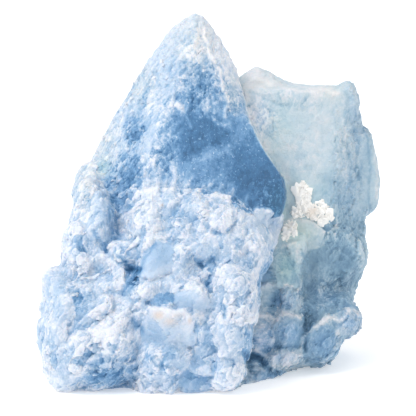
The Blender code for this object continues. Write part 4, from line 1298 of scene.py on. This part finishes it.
def calcite_finish(name, depth):
    """Frosted, part clear stone: deep blue in its thick places, with painted shade that deepens the blue in its hollows
    and painted light that whitens crystals that stand out. Depth is the share of the light that goes into it."""
    finish = Finish(name)
    tone, rough, gloss, crest, wide, rear, clear, busy = (
        finish.field(name) for name in ("tone", "rough", "gloss", "crest", "wide", "rear", "clear", "busy"))
    grain = finish.noise(0.7, 5.0, 0.75) - 0.5
    blotch = finish.noise(2.6, 4.0, 0.6, 0.8) - 0.5
    streak = finish.noise(1.0, 3.0, 0.6, 0.3, (0.5, 1.0, 4.0)) - 0.5
    specks = finish.noise(0.42, 2.0, 0.7).rise(0.59, 0.72) * clear
    long_cell, long_edge = finish.splinters(1.1, (0.6, 0.8, 1.7), 0.35)
    small_cell, small_edge = finish.splinters(0.5, (0.8, 0.8, 1.3), -0.5)
    wide_cell, _ = finish.splinters(2.6, (0.8, 1.0, 1.3), -0.3, 0.5)
    # Each cell's own tone, with painted light towards its upper left and painted shade towards its lower right.
    mosaic = long_cell * 0.5 + small_cell * 0.4 + wide_cell * (rear * 0.3 + 0.4)
    # Painted highlights along the cells' edges.
    painted_edge_highlight = (1.0 - long_edge.rise(0.0, 0.12)) * 0.5 + (1.0 - small_edge.rise(0.0, 0.16)) * 0.3
    # Painted light on corners that stand out, and painted shade in hollows, close by and broadly.
    lift = crest.clipped() * 1.6 + (crest - crest.clipped()) * 0.3 + wide * 0.2
    level = (tone + lift * (rough * 0.9 + 0.1) + grain * (rough * 0.05 + clear * 0.16 + 0.13)
             + blotch * (rough * 0.28 + rear * 0.34 + 0.16) + streak * (rear * 0.05 + clear * 0.22) + specks * 0.4
             + busy * (mosaic * 0.60 + painted_edge_highlight * 0.30 - 0.08))
    level = (level * (1.0 / TONE_TOP)).clipped()
    blue = finish.node("ShaderNodeValToRGB", {"stops": BLUES}, {0: level})
    milk = finish.node("ShaderNodeValToRGB", {"stops": MILKS}, {0: level})
    colour = finish.mix(rear, blue, milk)
    for share, tint in ((finish.field("green"), GREEN_TINT), (finish.field("grey"), GREY_TINT)):
        wash = finish.mix(share, WHITE, tint)
        colour = finish.node("ShaderNodeMix", {"data_type": "RGBA", "blend_type": "MULTIPLY"},
                             {0: 1.0, 6: colour, 7: wash}, out=2)
    colour = finish.mix(finish.field("stain") * 0.6, colour, TAN)
    relief = finish.noise(0.3, 3.0, 0.7) * 0.5 + finish.noise(1.2, 4.0, 0.65) + mosaic * (busy * 0.5 + rough * 0.4)
    bump = finish.node("ShaderNodeBump", None, {"Strength": 0.8, "Distance": 0.3 * MM, "Height": relief})
    shader = finish.node("ShaderNodeBsdfPrincipled", None, {
        "Base Color": colour,
        "Roughness": (0.46 - gloss * 0.14 + grain * 0.2).clipped(),
        "IOR": 1.5,
        "Normal": bump,
        "Subsurface Weight": depth,
        "Subsurface Radius": (0.5, 0.75, 1.0),
        "Subsurface Scale": 0.4 * MM,
    })
    finish.node("ShaderNodeOutputMaterial", None, {"Surface": shader})
    return finish.material


def cream_finish():
    """Chalky cream crumbs with tan spots, with painted light on their outer sides and painted shade at their bases."""
    finish = Finish("cream_crumbs")
    crest, stain = finish.field("crest"), finish.field("stain")
    grain = finish.noise(0.7, 3.0, 0.6) - 0.5
    # Painted light and shade from how far each corner stands out, with random grain.
    level = (crest * 0.9 + grain * 0.4 + 0.65).clipped()
    colour = finish.mix(level, CREAM_SHADED, CREAM_LIT)
    colour = finish.mix(stain * 0.5, colour, TAN)
    shader = finish.node("ShaderNodeBsdfPrincipled", None, {
        "Base Color": colour, "Roughness": 0.7, "Subsurface Weight": 0.2, "Subsurface Radius": (1.0, 0.9, 0.8),
        "Subsurface Scale": 0.6 * MM})
    finish.node("ShaderNodeOutputMaterial", None, {"Surface": shader})
    return finish.material


def floor_finish():
    """Pale and a little lit, as a lit table is."""
    finish = Finish("pale_floor")
    shader = finish.node("ShaderNodeBsdfPrincipled", None, {
        "Base Color": FLOOR_GREY, "Roughness": 0.8, "Emission Color": WHITE, "Emission Strength": 0.35})
    finish.node("ShaderNodeOutputMaterial", None, {"Surface": shader})
    return finish.material


# The studio

# The floor and the lamp's own size are in metres; the places are view millimetres.
FLOOR_HALF = 3.0
AIM = (0.0, 0.0, 25.0)
KEY_PLACE = (-450.0, -450.0, 700.0)
KEY_SIZE = 0.4
KEY_WATTS = 4.5
SKY_STRENGTH = 0.97
SENSOR = 36.0


def floor():
    """A square of floor under the stone."""
    mesh = bpy.data.meshes.new("floor")
    corners = [(i * FLOOR_HALF, k * FLOOR_HALF, 0.0) for i, k in ((-1, -1), (1, -1), (1, 1), (-1, 1))]
    mesh.from_pydata(corners, [], [(0, 1, 2, 3)])
    mesh.materials.append(floor_finish())
    new_object("floor", mesh)


def lamp(name, view_place, size, watts):
    """A soft square lamp at a place given in view millimetres, turned to the middle of the stone."""
    light = bpy.data.lights.new(name, "AREA")
    light.size = size
    light.energy = watts
    made = new_object(name, light)
    place, aim = to_frame(np.array([view_place, AIM]))
    way = aim - place
    made.location = place
    made.rotation_euler = (math.atan2(math.hypot(way[0], way[1]), -way[2]), 0.0, -math.atan2(way[0], way[1]))


def studio():
    """A white sky and one soft lamp from the upper left."""
    world = bpy.data.worlds.new("studio")
    bpy.context.scene.world = world
    world.use_nodes = True
    sky = world.node_tree.nodes["Background"].inputs
    sky["Color"].default_value = WHITE
    sky["Strength"].default_value = SKY_STRENGTH
    lamp("key", KEY_PLACE, KEY_SIZE, KEY_WATTS)
    bpy.context.scene.view_settings.view_transform = "Standard"


def camera():
    """The eye: it looks down on the stone by VIEW_TILT, and the picture's pixels meet the tables' places."""
    data = bpy.data.cameras.new("eye")
    data.sensor_width = SENSOR
    data.lens = SENSOR * EYE_DISTANCE / (PICTURE_SIDE * MM_PER_PIXEL)
    data.clip_end = 10.0
    made = new_object("eye", data)
    half = PICTURE_SIDE / 2
    made.location = to_frame(np.array([(across(half), -EYE_DISTANCE, up(half))]))[0]
    made.rotation_euler = (math.pi / 2.0 - VIEW_TILT, 0.0, 0.0)
    bpy.context.scene.camera = made


def main():
    body, skin = stone_body()
    rear = skin[:, 0] > front_edge(skin[:, 2])
    finish = calcite_finish("blue_calcite_frosted", 0.4)
    finishes = {
        body: finish,
        plated("crystal_crust", CRUST, Sight(skin, ~rear), CRUST_SALT): finish,
    }
    frosted = plated("frosted_blocks", FROSTED, Sight(skin, rear), FROSTED_SALT)
    finishes[frosted] = finish
    finishes[loose_crystals(body, frosted)] = calcite_finish("blue_calcite_crystals", 0.0)
    finishes[cream_crumbs(body)] = cream_finish()
    for piece, material in finishes.items():
        piece.data.materials.clear()
        piece.data.materials.append(material)
        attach(piece, "root")
        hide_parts(NODE)
    floor()
    studio()
    camera()


main()
